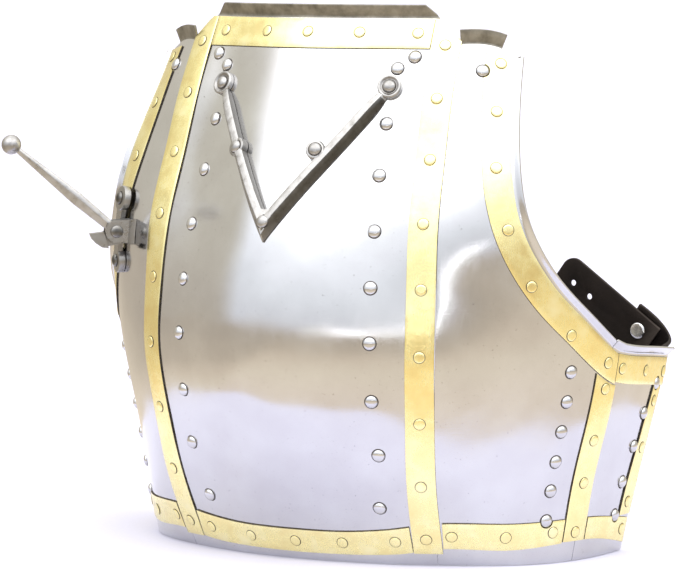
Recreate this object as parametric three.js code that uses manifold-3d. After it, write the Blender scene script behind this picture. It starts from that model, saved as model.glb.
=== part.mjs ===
// Steel cuirass breastplate with brass strips, a V-shaped stop rib, a folding lance rest and leather back straps.
// Millimetres, +Z up, front towards -Y, wearer's left towards +X.
// The origin is on the waist edge at the front centre, in the middle of the sheet.
import * as THREE from 'three';
import { mergeVertices } from 'three/addons/utils/BufferGeometryUtils.js';
import Module from 'manifold-3d';

const wasm = await Module();
wasm.setup();

// ---------------------------------------------------------------- driving dimensions
const GAP = 0.3;                 // clearance kept between pieces that touch
const SEAT = 0.45;               // clearance under the strips, which follow the curved plates in flat facets
const SHEET = 1.6;               // steel plate
const BRASS = 1.0;               // brass strips
const LEATHER = 2.5;             // straps and tabs
const STRIP_WIDTH = 19;          // brass strips on the joints, the neck and the armholes
const SIDE_JOINT = 114.6;        // girth of the joint between centre and side plates
const SEAM_JOINT = 242;          // girth of the joint between side and rear plates
const NECK_HEIGHT = 356;         // crease of the turned neck edge
const CHAMFER_START = 100;       // girth where the upper corner of the centre plate begins to fall
const CHAMFER_DROP = 11;         // its fall at the side joint
const ORIGIN_Y = 5.23;           // middle of the waist edge, in the coordinates of the section table

const STEEL_RIVET = { radius: 4.2, height: 2.6, sides: 6, sink: 0.8, seat: 0 };
const BRASS_RIVET = { radius: 3.7, height: 1.2, sides: 5, sink: 0.5, seat: SEAT + BRASS };

// Girth stations, measured round the belly from the centre line.
const STATION = { centre: 0, quarter: 70, strip: 105, flank: 207, seam: 242, rear: 330 };

// The hammered form of the body: for each height, the plan position of each station.
// The quarter station keeps X = QUARTER_X.
const QUARTER_X = 68;
const SECTIONS = [
  // z, centreY, quarterY, stripX, stripY, flankX, flankY, seamX, seamY, rearX, rearY
  [0, 4.5, 14.5, 87.5, 22.0, 147.0, 62.0, 159.0, 86.0, 165.5, 152.0],
  [18, -3.5, 6.5, 89.8, 13.6, 150.5, 61.8, 162.0, 86.5, 168.5, 154.5],
  [53, -23.0, -9.0, 93.8, -0.8, 156.5, 61.2, 168.0, 87.5, 174.0, 159.0],
  [96, -43.0, -23.5, 98.1, -10.9, 165.5, 60.5, 178.5, 89.0, 181.0, 162.0],
  [139, -52.0, -32.0, 101.3, -17.4, 173.0, 58.0, 186.0, 90.0, 186.0, 168.6],
  [183, -49.0, -28.5, 101.1, -14.8, 175.0, 52.0, 189.0, 86.0, 188.0, 174.0],
  [226, -38.0, -17.5, 99.5, -8.7, 173.0, 48.0, 189.0, 82.0, 190.0, 178.0],
  [266, -22.0, -3.0, 96.8, 5.0, 168.0, 54.0, 184.0, 88.0, 191.0, 180.0],
  [305, -4.5, 12.0, 94.4, 18.4, 161.0, 77.0, 176.0, 111.0, 186.0, 196.0],
  [356, 20.0, 35.0, 91.0, 42.5, 153.0, 110.0, 166.0, 146.0, 177.0, 228.0],
];

// Centre line of the armhole strip, from the seam up to the shoulder: girth, height.
const ARMHOLE_LINE = [
  [262, 123.5], [250, 126.8], [238, 132.3], [209.9, 154.3], [190, 174.6], [174.9, 197.6],
  [165.5, 220], [159.8, 243.9], [155, 278], [150.7, 329.4], [149.8, 345],
];

// Centre line of the rear top strip: girth, height.
const REAR_TOP_LINE = [[242, 129.8], [253, 127.6], [293, 123.1], [342.6, 118.4], [362, 116.8]];

// Rear edge of the rear plate: height, girth.
const REAR_EDGE = [[0, 320.5], [30, 322], [70, 328], [111, 338], [132, 345]];

// Lower and upper edge of the waist strips: girth, lower height, upper height.
const WAIST_EDGES = [
  [0, 5.6, 21.6], [35, 6.0, 21.9], [90, 9.2, 27.0], [120, 12.0, 29.6],
  [175, 10.6, 28.4], [232, 13.4, 29.0], [255, 13.6, 28.5], [320, 5.6, 22.4],
];

// Steel rivets: girth, height.
const CENTRE_RIVETS = [
  [66.2, 288.8], [68, 255.9], [71.1, 220.6], [72.9, 184.8], [74.2, 149.4],
  [73.4, 111.4], [73.3, 75.4], [66, 39.2], [66, 323.9], [78.4, 331.4],
];
const SIDE_RIVETS = [
  [139.2, 322.7], [207, 128], [207, 108.2], [207, 88.3], [207, 68.3], [207, 48.9], [207, 28.9],
];
const REAR_RIVETS = [[324, 112], [309.2, 93.3], [303.5, 71.4], [297.2, 48], [294.9, 25.9]];

// Brass rivets: girth, height.
const NECK_RIVETS = [[-76, 346.2], [-32, 346.6], [0, 346.8], [34, 346.6], [77, 346.2]];
const FRONT_RIVETS = [338.7, 304.8, 266, 225.7, 183.9, 140.9, 97.2, 55.1, 18.7].map((z) => [105, z]);
const ARMHOLE_RIVETS = [
  [152, 326.9], [153.7, 296.6], [156.9, 261.2], [165.2, 222.2], [178.2, 185.5], [205.1, 152.5], [238, 132.4],
];
const REAR_TOP_RIVETS = [[254.5, 127.4], [293, 123.1], [335, 119.1]];
const SEAM_RIVETS = [115.1, 80.9, 52.5, 19.7].map((z) => [239, z]);
const REAR_EDGE_RIVETS = [98, 68, 32];
const WAIST_RIVETS = [
  [-73, 16.5], [-33, 13.9], [0.3, 13.5], [32, 14.2], [73, 16.5], [128.5, 20.8], [173.4, 19.4], [214.6, 21.1],
  [310.6, 15.5],
];

const steel = new THREE.MeshStandardMaterial({ color: 0xc9c7c6, roughness: 0.18, metalness: 1 });
const forged = new THREE.MeshStandardMaterial({ color: 0x9b9a9a, roughness: 0.3, metalness: 1 });
const brass = new THREE.MeshStandardMaterial({ color: 0xe9d27d, roughness: 0.25, metalness: 1 });
const leather = new THREE.MeshStandardMaterial({ color: 0x15110f, roughness: 0.6, metalness: 0 });

// ---------------------------------------------------------------- curves
// Natural cubic spline through (xs, ys).
function spline(xs, ys) {
  const n = xs.length - 1;
  const second = new Array(n + 1).fill(0);
  const carry = new Array(n + 1).fill(0);
  for (let i = 1; i < n; i++) {
    const before = xs[i] - xs[i - 1];
    const after = xs[i + 1] - xs[i];
    const pivot = 2 * (before + after) - before * carry[i - 1];
    const bend = 6 * ((ys[i + 1] - ys[i]) / after - (ys[i] - ys[i - 1]) / before);
    carry[i] = after / pivot;
    second[i] = (bend - before * second[i - 1]) / pivot;
  }
  for (let i = n - 1; i > 0; i--) second[i] -= carry[i] * second[i + 1];
  return (x) => {
    let i = 0;
    while (i < n - 1 && x > xs[i + 1]) i++;
    const width = xs[i + 1] - xs[i];
    const a = (xs[i + 1] - x) / width;
    const b = 1 - a;
    const sag = ((a ** 3 - a) * second[i] + (b ** 3 - b) * second[i + 1]) * width * width / 6;
    return a * ys[i] + b * ys[i + 1] + sag;
  };
}

const column = (rows, k) => rows.map((row) => row[k]);

// Spline of column k of a table over its first column.
const curve = (rows, k) => spline(column(rows, 0), column(rows, k));

// Numbers from a to b in n equal steps.
const span = (a, b, n) => Array.from({ length: n + 1 }, (_, i) => a + (b - a) * i / n);

const mix = (a, b, f) => a + (b - a) * f;

// Path through a list of [girth, height], measured along its own length.
function path(points) {
  const reach = [0];
  for (let i = 1; i < points.length; i++) {
    const step = Math.hypot(points[i][0] - points[i - 1][0], points[i][1] - points[i - 1][1]);
    reach.push(reach[i - 1] + step);
  }
  const t = spline(reach, column(points, 0));
  const z = spline(reach, column(points, 1));
  const at = (s) => [t(s), z(s)];
  at.total = reach[reach.length - 1];
  return at;
}

// ---------------------------------------------------------------- the body's form
const bodyColumns = SECTIONS[0].slice(1).map((_, k) => curve(SECTIONS, k + 1));
const [centreY, quarterY, stripX, stripY, flankX, flankY, seamX, seamY, rearX, rearY] = bodyColumns;

const halfKnots = Object.values(STATION);
const knots = [...halfKnots.slice(1).reverse().map((t) => -t), ...halfKnots];
const sectionCache = new Map();

// Plan section at height z, as x(t) and y(t) over the girth t.
function section(z) {
  const key = z.toFixed(5);
  if (!sectionCache.has(key)) {
    const x = [0, QUARTER_X, stripX(z), flankX(z), seamX(z), rearX(z)];
    const y = [centreY(z), quarterY(z), stripY(z), flankY(z), seamY(z), rearY(z)];
    const xs = [...x.slice(1).reverse().map((v) => -v), ...x];
    const ys = [...y.slice(1).reverse(), ...y];
    sectionCache.set(key, { x: spline(knots, xs), y: spline(knots, ys) });
  }
  return sectionCache.get(key);
}

function onBody(t, z) {
  const plan = section(z);
  return new THREE.Vector3(plan.x(t), plan.y(t) - ORIGIN_Y, z);
}

// Change of the body's point for one millimetre of girth and one of height.
function slopes(t, z) {
  return {
    alongT: onBody(t + 0.5, z).sub(onBody(t - 0.5, z)),
    alongZ: onBody(t, z + 0.5).sub(onBody(t, z - 0.5)),
  };
}

function bodyNormal(t, z) {
  const { alongT, alongZ } = slopes(t, z);
  return alongT.cross(alongZ).normalize();
}

// Point at a height `out` above the steel surface.
const lift = (t, z, out) => onBody(t, z).addScaledVector(bodyNormal(t, z), out);

// Girth and height of the point k mm to the right of a path, seen from outside, measured in the surface.
function beside(line, s, k) {
  const [t, z] = line(s);
  const tangent = onBody(...line(s + 0.5)).sub(onBody(...line(s - 0.5)));
  const side = tangent.cross(bodyNormal(t, z)).setLength(Math.abs(k) || 1).multiplyScalar(Math.sign(k));
  const { alongT, alongZ } = slopes(t, z);
  const tt = alongT.dot(alongT);
  const tz = alongT.dot(alongZ);
  const zz = alongZ.dot(alongZ);
  const onT = side.dot(alongT);
  const onZ = side.dot(alongZ);
  const det = tt * zz - tz * tz;
  return [t + (onT * zz - onZ * tz) / det, z + (onZ * tt - onT * tz) / det];
}

// Frame standing on the body: X to the right, Y up the surface, Z outwards.
function standing(t, z, out) {
  const normal = bodyNormal(t, z);
  const right = new THREE.Vector3(0, 0, 1).cross(normal).normalize();
  const up = normal.clone().cross(right);
  return new THREE.Matrix4().makeBasis(right, up, normal).setPosition(lift(t, z, out));
}

// ---------------------------------------------------------------- bent sheets
// A sheet is a patchwork of quads whose corners are pairs: one point on its outer face, one on its inner.
class Sheet {
  constructor() {
    this.outer = [];
    this.inner = [];
    this.quads = [];
  }

  pair(outer, inner) {
    this.outer.push(outer);
    return this.inner.push(inner) - 1;
  }

  // Quads between two rows of corners, the second on the left of the first seen from outside.
  weave(row, next) {
    for (let i = 0; i + 1 < row.length; i++) this.quads.push([row[i], row[i + 1], next[i + 1], next[i]]);
  }

  geometry() {
    const count = this.outer.length;
    const index = [];
    const open = new Map();
    for (const [a, b, c, d] of this.quads) {
      index.push(a, b, c, a, c, d);
      index.push(a + count, c + count, b + count, a + count, d + count, c + count);
      for (const [from, to] of [[a, b], [b, c], [c, d], [d, a]]) {
        if (!open.delete(`${to},${from}`)) open.set(`${from},${to}`, [from, to]);
      }
    }
    for (const [from, to] of open.values()) {
      index.push(to, from, from + count, to, from + count, to + count);
    }
    const geometry = new THREE.BufferGeometry();
    const points = [...this.outer, ...this.inner].flatMap((p) => p.toArray());
    geometry.setAttribute('position', new THREE.Float32BufferAttribute(points, 3));
    geometry.setIndex(index);
    return geometry;
  }
}

// Sheet over the body between heights `low` and `high` above the steel surface.
// `rows` lists rows of [girth, height], upwards; a row at height 0 is cut level.
function bodySheet(rows, low, high) {
  const sheet = new Sheet();
  sheet.rows = rows.map((row) => row.map(([t, z]) => {
    const outer = lift(t, z, high);
    const inner = lift(t, z, low);
    if (z === 0) {
      outer.z = 0;
      inner.z = 0;
    }
    return sheet.pair(outer, inner);
  }));
  for (let r = 0; r + 1 < rows.length; r++) sheet.weave(sheet.rows[r], sheet.rows[r + 1]);
  return sheet;
}

// Edge turned outwards along a chain of a plate's corners: a bend, then a straight lip.
// `at(i, f)` is the [girth, height] of chain corner i, a fraction f up the turned edge.
// The end corners named in `mitred` turn straight up the body, to meet the next plate's edge.
function turnEdge(sheet, chain, at, { radius, angle, length, mitred = [] }) {
  const turns = span(0, angle, 2).slice(1).map((a) => ({ angle: a, straight: 0 }));
  turns.push({ angle, straight: length });
  const total = radius * angle + length;
  let row = chain;
  for (const turn of turns) {
    const f = (radius * turn.angle + turn.straight) / total;
    const next = chain.map((_, i) => {
      const [t, z] = at(i, f);
      const normal = bodyNormal(t, z);
      const ahead = onBody(...at(Math.min(i + 1, chain.length - 1), f));
      const behind = onBody(...at(Math.max(i - 1, 0), f));
      const across = mitred.includes(i)
        ? slopes(t, z).alongZ.normalize()
        : normal.clone().cross(ahead.sub(behind)).normalize();
      const place = (r, base) => onBody(t, z)
        .addScaledVector(normal, base + r * (1 - Math.cos(turn.angle)) + turn.straight * Math.sin(turn.angle))
        .addScaledVector(across, r * Math.sin(turn.angle) + turn.straight * Math.cos(turn.angle));
      return sheet.pair(place(radius, 0), place(radius + SHEET, -SHEET));
    });
    sheet.weave(row, next);
    row = next;
  }
}

// Brass strip through stations that give the [girth, height] of its two edges.
function stripSheet(stations, across = 2) {
  const rows = stations.map(([a, b]) => span(0, 1, across).map((f) => [mix(a[0], b[0], f), mix(a[1], b[1], f)]));
  return bodySheet(rows, SEAT, SEAT + BRASS).geometry();
}

// ---------------------------------------------------------------- solids
function toManifold(geometry) {
  const bare = new THREE.BufferGeometry();
  bare.setAttribute('position', geometry.getAttribute('position').clone());
  if (geometry.index) bare.setIndex(geometry.index.clone());
  const merged = mergeVertices(bare, 1e-4);
  const source = merged.index.array;
  const triangles = [];
  for (let i = 0; i < source.length; i += 3) {
    const [a, b, c] = source.slice(i, i + 3);
    if (a !== b && b !== c && c !== a) triangles.push(a, b, c);
  }
  return new wasm.Manifold(new wasm.Mesh({
    numProp: 3,
    vertProperties: new Float32Array(merged.getAttribute('position').array),
    triVerts: new Uint32Array(triangles),
  }));
}

function fromManifold(manifold) {
  const mesh = manifold.getMesh();
  const geometry = new THREE.BufferGeometry();
  geometry.setAttribute('position', new THREE.BufferAttribute(new Float32Array(mesh.vertProperties), 3));
  geometry.setIndex(new THREE.BufferAttribute(new Uint32Array(mesh.triVerts), 1));
  return geometry;
}

const join = (geometries) => fromManifold(wasm.Manifold.union(geometries.map(toManifold)));

function cut(geometry, tools) {
  return fromManifold(toManifold(geometry).subtract(wasm.Manifold.union(tools.map(toManifold))));
}

// Turned solid on a frame's Z axis, from a closed profile of [radius, height].
function turned(profile, sides, frame) {
  const points = profile.map(([r, h]) => new THREE.Vector2(r, h));
  return new THREE.LatheGeometry(points, sides).rotateX(Math.PI / 2).applyMatrix4(frame);
}

// Plate cut from an outline in a frame's XY plane, from height z0 to z1.
function outlinePlate(shape, z0, z1, frame, curveSegments = 8) {
  const options = { depth: z1 - z0, bevelEnabled: false, curveSegments };
  return new THREE.ExtrudeGeometry(shape, options).translate(0, 0, z0).applyMatrix4(frame);
}

function mirrored(geometry) {
  const copy = geometry.clone().scale(-1, 1, 1);
  const index = copy.index.array;
  for (let i = 0; i < index.length; i += 3) [index[i], index[i + 1]] = [index[i + 1], index[i]];
  return copy;
}

// Domed rivet head that stands on the body at [girth, height].
function rivet([t, z], { radius, height, sides, sink, seat }) {
  const profile = [[0, -sink], [radius, -sink], [0.62 * radius, 0.85 * height], [0, height]];
  return turned(profile, sides, standing(t, z, seat));
}

// Cylinder that clears a steel rivet out of the brass strip beside it.
const rivetRoom = ([t, z]) =>
  turned([[0, -1], [STEEL_RIVET.radius + 0.4, -1], [STEEL_RIVET.radius + 0.4, 4], [0, 4]], 8, standing(t, z, 0));

const withRivets = (sheet, places, kind) => join([sheet, ...places.map((place) => rivet(place, kind))]);

// ---------------------------------------------------------------- steel plates
const flip = ([t, z]) => [-t, z];

// Height of the centre plate's top edge at a girth.
function plateTop(t) {
  const fall = CHAMFER_DROP / (SIDE_JOINT - CHAMFER_START);
  return NECK_HEIGHT - fall * Math.max(0, Math.abs(t) - CHAMFER_START);
}

function centrePlate() {
  const half = [0, 22, 43, 62, 79, 91, CHAMFER_START, SIDE_JOINT - GAP / 2];
  const columns = [...half.slice(1).reverse().map((t) => -t), ...half];
  const rows = span(0, 1, 16).map((v) => columns.map((t) => [t, v * plateTop(t)]));
  const sheet = bodySheet(rows, -SHEET, 0);
  const last = sheet.rows[rows.length - 1];
  const neck = columns.map((_, i) => i).filter((i) => Math.abs(columns[i]) < CHAMFER_START);
  const at = (i, f) => [columns[neck[i]] * (1 - 0.15 * f), NECK_HEIGHT];
  turnEdge(sheet, neck.map((i) => last[i]), at, { radius: 3, angle: 0.87, length: 6.7 });
  const places = [...CENTRE_RIVETS, ...CENTRE_RIVETS.map(flip)];
  return withRivets(sheet.geometry(), places, STEEL_RIVET);
}

const armholeLine = path(ARMHOLE_LINE);
const rearTopLine = path(REAR_TOP_LINE);
const rearGirth = curve(REAR_EDGE, 1);

// Distance along a path at which coordinate k of its side point reaches a value.
function reachOf(line, k, value, side = 0) {
  let low = 0;
  let high = line.total;
  const start = beside(line, low, side || 1e-9)[k] < value;
  for (let i = 0; i < 40; i++) {
    const middle = (low + high) / 2;
    if ((beside(line, middle, side || 1e-9)[k] < value) === start) low = middle;
    else high = middle;
  }
  return low;
}

const CREASE = STRIP_WIDTH / 2 + 1.2;          // from a strip's centre line to the crease of the turned edge
const SHOULDER_HEIGHT = 332;                   // shoulder corner of the side plate
const SIDE_NECK_HEIGHT = 339.3;                // neck corner of the side plate

// Height of the side plate's neck edge at a girth.
const sideTop = spline([SIDE_JOINT, 153.6, 162, 175], [SIDE_NECK_HEIGHT, 335.8, SHOULDER_HEIGHT, 326]);

function sidePlate() {
  const left = SIDE_JOINT + GAP;
  const right = SEAM_JOINT - GAP / 2;
  const seamEnd = reachOf(armholeLine, 0, right, CREASE);
  const shoulder = reachOf(armholeLine, 1, SHOULDER_HEIGHT, CREASE);
  const crease = (s) => beside(armholeLine, s, CREASE);
  const cornerHeight = crease(seamEnd)[1];
  const lower = span(0, 1, 6).map((v) => ({ z: v * 150, end: [right, v * cornerHeight] }));
  const upper = span(0, 1, 11).slice(1).map((v) => ({
    z: mix(150, SIDE_NECK_HEIGHT, v),
    end: crease(mix(seamEnd, shoulder, v)),
    lean: v,
  }));
  const fractions = span(0, 1, 7);
  const rows = [...lower, ...upper].map(({ z, end, lean = 0 }) => fractions.map((f) => {
    const t = mix(left, end[0], f);
    const straight = mix(z, end[1], f);
    return [t, mix(straight, lean === 1 ? sideTop(t) : straight, lean)];
  }));
  const sheet = bodySheet(rows, -SHEET, 0);
  const first = lower.length - 1;
  const chainRows = rows.map((_, r) => r).filter((r) => r >= first).reverse();
  const rim = chainRows.map((r) => rows[r][fractions.length - 1]);
  const chain = chainRows.map((r) => sheet.rows[r][fractions.length - 1]);
  turnEdge(sheet, chain, (i) => rim[i], { radius: 2.5, angle: 0.75, length: 3.6, mitred: [chain.length - 1] });
  const topRow = rows[rows.length - 1];
  const neck = topRow.map((_, i) => i).filter((i) => topRow[i][0] > 118 && topRow[i][0] < 152);
  const neckAt = (i) => topRow[neck[i]];
  turnEdge(sheet, neck.map((i) => sheet.rows[rows.length - 1][i]), neckAt, { radius: 2.5, angle: 0.7, length: 8 });
  return withRivets(sheet.geometry(), SIDE_RIVETS, STEEL_RIVET);
}

function rearPlate() {
  const left = SEAM_JOINT + GAP / 2;
  const top = (f) => {
    const s = mix(reachOf(rearTopLine, 0, left + 1), reachOf(rearTopLine, 0, 345), f);
    return beside(rearTopLine, s, -CREASE);
  };
  const fractions = span(0, 1, 6);
  const leftTop = crossHeight(left);
  const rows = span(0, 1, 6).map((v) => fractions.map((f) => {
    const edge = f === 0 ? [left, leftTop] : top(f);
    const bottom = mix(left, rearGirth(0), f);
    const t = f === 1 ? rearGirth(v * edge[1]) : mix(bottom, edge[0], v);
    return [t, v * edge[1]];
  }));
  const sheet = bodySheet(rows, -SHEET, 0);
  const last = rows[rows.length - 1];
  turnEdge(sheet, sheet.rows[rows.length - 1], (i) => last[i], {
    radius: 2.5, angle: 0.75, length: 5.4, mitred: [0],
  });
  return withRivets(sheet.geometry(), REAR_RIVETS, STEEL_RIVET);
}

// Height of the armhole crease where it meets the seam.
function crossHeight(t) {
  return beside(armholeLine, reachOf(armholeLine, 0, t, CREASE), CREASE)[1];
}

// ---------------------------------------------------------------- brass strips
// Strip along the girth between two edges given as heights over the girth, from left to right seen from outside.
const band = (columns, lower, upper) => stripSheet(columns.map((t) => [[t, upper(t)], [t, lower(t)]]), 1);

const frontLine = (s) => [STATION.strip, s];
const seamLine = (s) => [STATION.seam - 3, s];
const waistLow = curve(WAIST_EDGES, 1);
const waistHigh = curve(WAIST_EDGES, 2);
const HALF = STRIP_WIDTH / 2;
const EDGE = 0.6;                              // strips stop this far from a crease or a free edge

function neckStrip() {
  const end = beside(frontLine, NECK_HEIGHT - HALF, -HALF - GAP)[0];
  const sheet = band(span(-end, end, 12), () => NECK_HEIGHT - EDGE - STRIP_WIDTH, () => NECK_HEIGHT - EDGE);
  return withRivets(sheet, NECK_RIVETS, BRASS_RIVET);
}

function frontStrip() {
  const bottom = 8.6;
  const rows = span(0, 1, 24).map((v) => [0, 0.27, 1].map((f) => {
    const level = mix(bottom, NECK_HEIGHT, v);
    const t = mix(beside(frontLine, level, -HALF)[0], beside(frontLine, level, HALF)[0], f);
    return [t, mix(bottom, plateTop(t) - EDGE, v)];
  }));
  return withRivets(bodySheet(rows, SEAT, SEAT + BRASS).geometry(), FRONT_RIVETS, BRASS_RIVET);
}

// Height of the armhole strip's lower edge over a girth near the seam.
function armholeLower(t) {
  return beside(armholeLine, reachOf(armholeLine, 0, t, -HALF), -HALF)[1];
}

const ARMHOLE_END = STATION.seam + 6;          // upright end of the armhole strip, over the seam

function armholeStrip() {
  const top = SHOULDER_HEIGHT + 3;
  const edge = (side, from, to) => (f) => beside(armholeLine, mix(from, to, f), side);
  const lower = edge(-HALF, reachOf(armholeLine, 0, ARMHOLE_END, -HALF), reachOf(armholeLine, 1, top, -HALF));
  const outerTop = reachOf(armholeLine, 1, SHOULDER_HEIGHT - EDGE, HALF);
  const upper = edge(HALF, reachOf(armholeLine, 0, ARMHOLE_END, HALF), outerTop);
  return withRivets(stripSheet(span(0, 1, 20).map((f) => [lower(f), upper(f)])), ARMHOLE_RIVETS, BRASS_RIVET);
}

function rearTopStrip() {
  const start = ARMHOLE_END + GAP;
  const edge = (side) => (f) => {
    const from = reachOf(rearTopLine, 0, start, side);
    const to = reachOf(rearTopLine, 0, rearGirth(120) - 1, side);
    return beside(rearTopLine, mix(from, to, f), side);
  };
  const sheet = stripSheet(span(0, 1, 8).map((f) => [edge(-HALF)(f), edge(HALF)(f)]));
  return withRivets(sheet, REAR_TOP_RIVETS, BRASS_RIVET);
}

function seamStrip() {
  const bottom = waistLow(STATION.seam - 3);
  const rows = span(0, 1, 6).map((v) => [0, 0.5, 1].map((f) => {
    const level = mix(bottom, 118, v);
    const t = mix(beside(seamLine, level, -HALF)[0], beside(seamLine, level, HALF)[0], f);
    return [t, mix(bottom, armholeLower(Math.min(t, ARMHOLE_END - 0.5)) - 0.8, v)];
  }));
  return withRivets(bodySheet(rows, SEAT, SEAT + BRASS).geometry(), SEAM_RIVETS, BRASS_RIVET);
}

const REAR_STRIP_WIDTH = 15;
const rearLine = (s) => [rearGirth(s), s];

function rearEdgeStrip() {
  const bottom = waistHigh(303) + 0.6;
  const rows = span(0, 1, 6).map((v) => [0, 1].map((f) => {
    const level = mix(bottom, 106, v);
    const t = mix(beside(rearLine, level, -REAR_STRIP_WIDTH - EDGE)[0], beside(rearLine, level, -EDGE)[0], f);
    const strip = beside(rearTopLine, reachOf(rearTopLine, 0, t, HALF), HALF);
    return [t, mix(bottom, strip[1] - GAP, v)];
  }));
  const places = REAR_EDGE_RIVETS.map((z) => beside(rearLine, z, -REAR_STRIP_WIDTH / 2 - EDGE));
  return withRivets(bodySheet(rows, SEAT, SEAT + BRASS).geometry(), places, BRASS_RIVET);
}

function waistStrip(from, to, count) {
  const low = (t) => waistLow(Math.abs(t));
  const high = (t) => waistHigh(Math.abs(t));
  const places = WAIST_RIVETS.filter(([t]) => t > from && t < to);
  return withRivets(band(span(from, to, count), low, high), places, BRASS_RIVET);
}

// ---------------------------------------------------------------- stop rib
const RIB_EYE = [63.5, 311.7];
const RIB_TIP = 221;
const RIB_LUGS = [[-33.5, 270.5], [24.5, 270.5]];
const RIB_WEB = 224.5;
const RIB_SEAT = 0.65;
const RIB_REACH = 3.4;                         // the bars end this far short of the eyes' centres, in girth

function stopRib() {
  const slope = (RIB_EYE[1] - RIB_TIP) / RIB_EYE[0];
  const arm = (s) => [s, RIB_TIP + s * slope];
  // Section of the bar: distance outwards from its centre line, height above the plate.
  const bar = [[-4.6, RIB_SEAT], [5, RIB_SEAT], [5, 1.2], [0.4, 6.3], [-4.6, 5.2]];
  const end = RIB_EYE[0] - RIB_REACH;
  const stations = [...span(0, end - 7, 4), end];
  const ring = (s, mirror) => bar.map(([k, h]) => {
    const low = s === end ? 0.5 : 1;
    let [t, z] = beside(arm, s, k * (s === end ? 0.7 : 1));
    if (s === 0) [t, z] = [0, z - t * slope];
    return lift(mirror ? -t : t, z, RIB_SEAT + (h - RIB_SEAT) * low);
  });
  const rings = [...stations.slice(1).reverse().map((s) => ring(s, true)), ...stations.map((s) => ring(s, false))];
  const seat = (t, z) => standing(t, z, 0);
  const eye = [[0, RIB_SEAT], [8, RIB_SEAT], [8, 3], [6.6, 3.8], [5.2, 2.8], [0, 2.8]];
  const lug = [[0, RIB_SEAT], [6.5, RIB_SEAT], [6.5, 4.6], [5.6, 5.4], [0, 5.4]];
  const web = new THREE.Shape();
  web.moveTo(-9.5, 12);
  web.quadraticCurveTo(0, 6.5, 9.5, 12);
  web.lineTo(0, -9);
  const parts = [tube(rings), outlinePlate(web, RIB_SEAT, 5.2, seat(0, RIB_WEB), 4)];
  const places = [[0, RIB_WEB, 5.2]];
  for (const side of [-1, 1]) {
    parts.push(turned(eye, 10, seat(side * RIB_EYE[0], RIB_EYE[1])));
    places.push([side * RIB_EYE[0], RIB_EYE[1], 2.8]);
  }
  for (const [t, z] of RIB_LUGS) {
    parts.push(turned(lug, 8, seat(t, z)));
    places.push([t, z, 5.4]);
  }
  const heads = places.map(([t, z, seated]) => rivet([t, z], { ...STEEL_RIVET, seat: seated }));
  return join([...parts, ...heads]);
}

// Solid swept through rings of equal point count, closed at both ends.
function tube(rings) {
  const size = rings[0].length;
  const index = [];
  for (let r = 0; r + 1 < rings.length; r++) {
    for (let i = 0; i < size; i++) {
      const a = r * size + i;
      const b = r * size + (i + 1) % size;
      index.push(a, b, b + size, a, b + size, a + size);
    }
  }
  const last = (rings.length - 1) * size;
  for (let i = 1; i + 1 < size; i++) {
    index.push(0, i + 1, i);
    index.push(last, last + i, last + i + 1);
  }
  const geometry = new THREE.BufferGeometry();
  geometry.setAttribute('position', new THREE.Float32BufferAttribute(rings.flat().flatMap((p) => p.toArray()), 3));
  geometry.setIndex(index);
  return toManifold(geometry).volume() < 0 ? flipped(geometry) : geometry;
}

function flipped(geometry) {
  const index = geometry.index.array;
  for (let i = 0; i < index.length; i += 3) [index[i], index[i + 1]] = [index[i + 1], index[i]];
  return geometry;
}

// ---------------------------------------------------------------- lance rest
const PIVOT_AT = [-139, 211.3, 12];            // girth, height and lift of the pivot
const PIVOT_TURN = THREE.MathUtils.degToRad(40);
const ARM_RISE = THREE.MathUtils.degToRad(40);
const ARM_LENGTH = 91;
const PIN_RADIUS = 2.5;
const LUGS = [[0, 3], [9, 12]];                // the two lugs, along the pin
const ARM_SIDES = [3, 9];                      // room between them for the arm
const LOBES = [[-155, 232.5, 1.7], [-158.5, 191.3, 0.5]];

const pivot = lift(...PIVOT_AT);
const pivotAxis = new THREE.Vector3(Math.sin(PIVOT_TURN), -Math.cos(PIVOT_TURN), 0);

// Frame at the pivot: X outwards from the body, Y up, Z along the pin towards the front.
const pivotFrame = new THREE.Matrix4()
  .makeBasis(new THREE.Vector3(-Math.cos(PIVOT_TURN), -Math.sin(PIVOT_TURN), 0), new THREE.Vector3(0, 0, 1),
    pivotAxis.clone().negate())
  .setPosition(pivot);

const boxAt = (x, y, z, w, h, d, frame) => new THREE.BoxGeometry(w, h, d).translate(x, y, z).applyMatrix4(frame);

const disc = (radius, z0, z1, sides, frame) => turned([[0, z0], [radius, z0], [radius, z1], [0, z1]], sides, frame);

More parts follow.
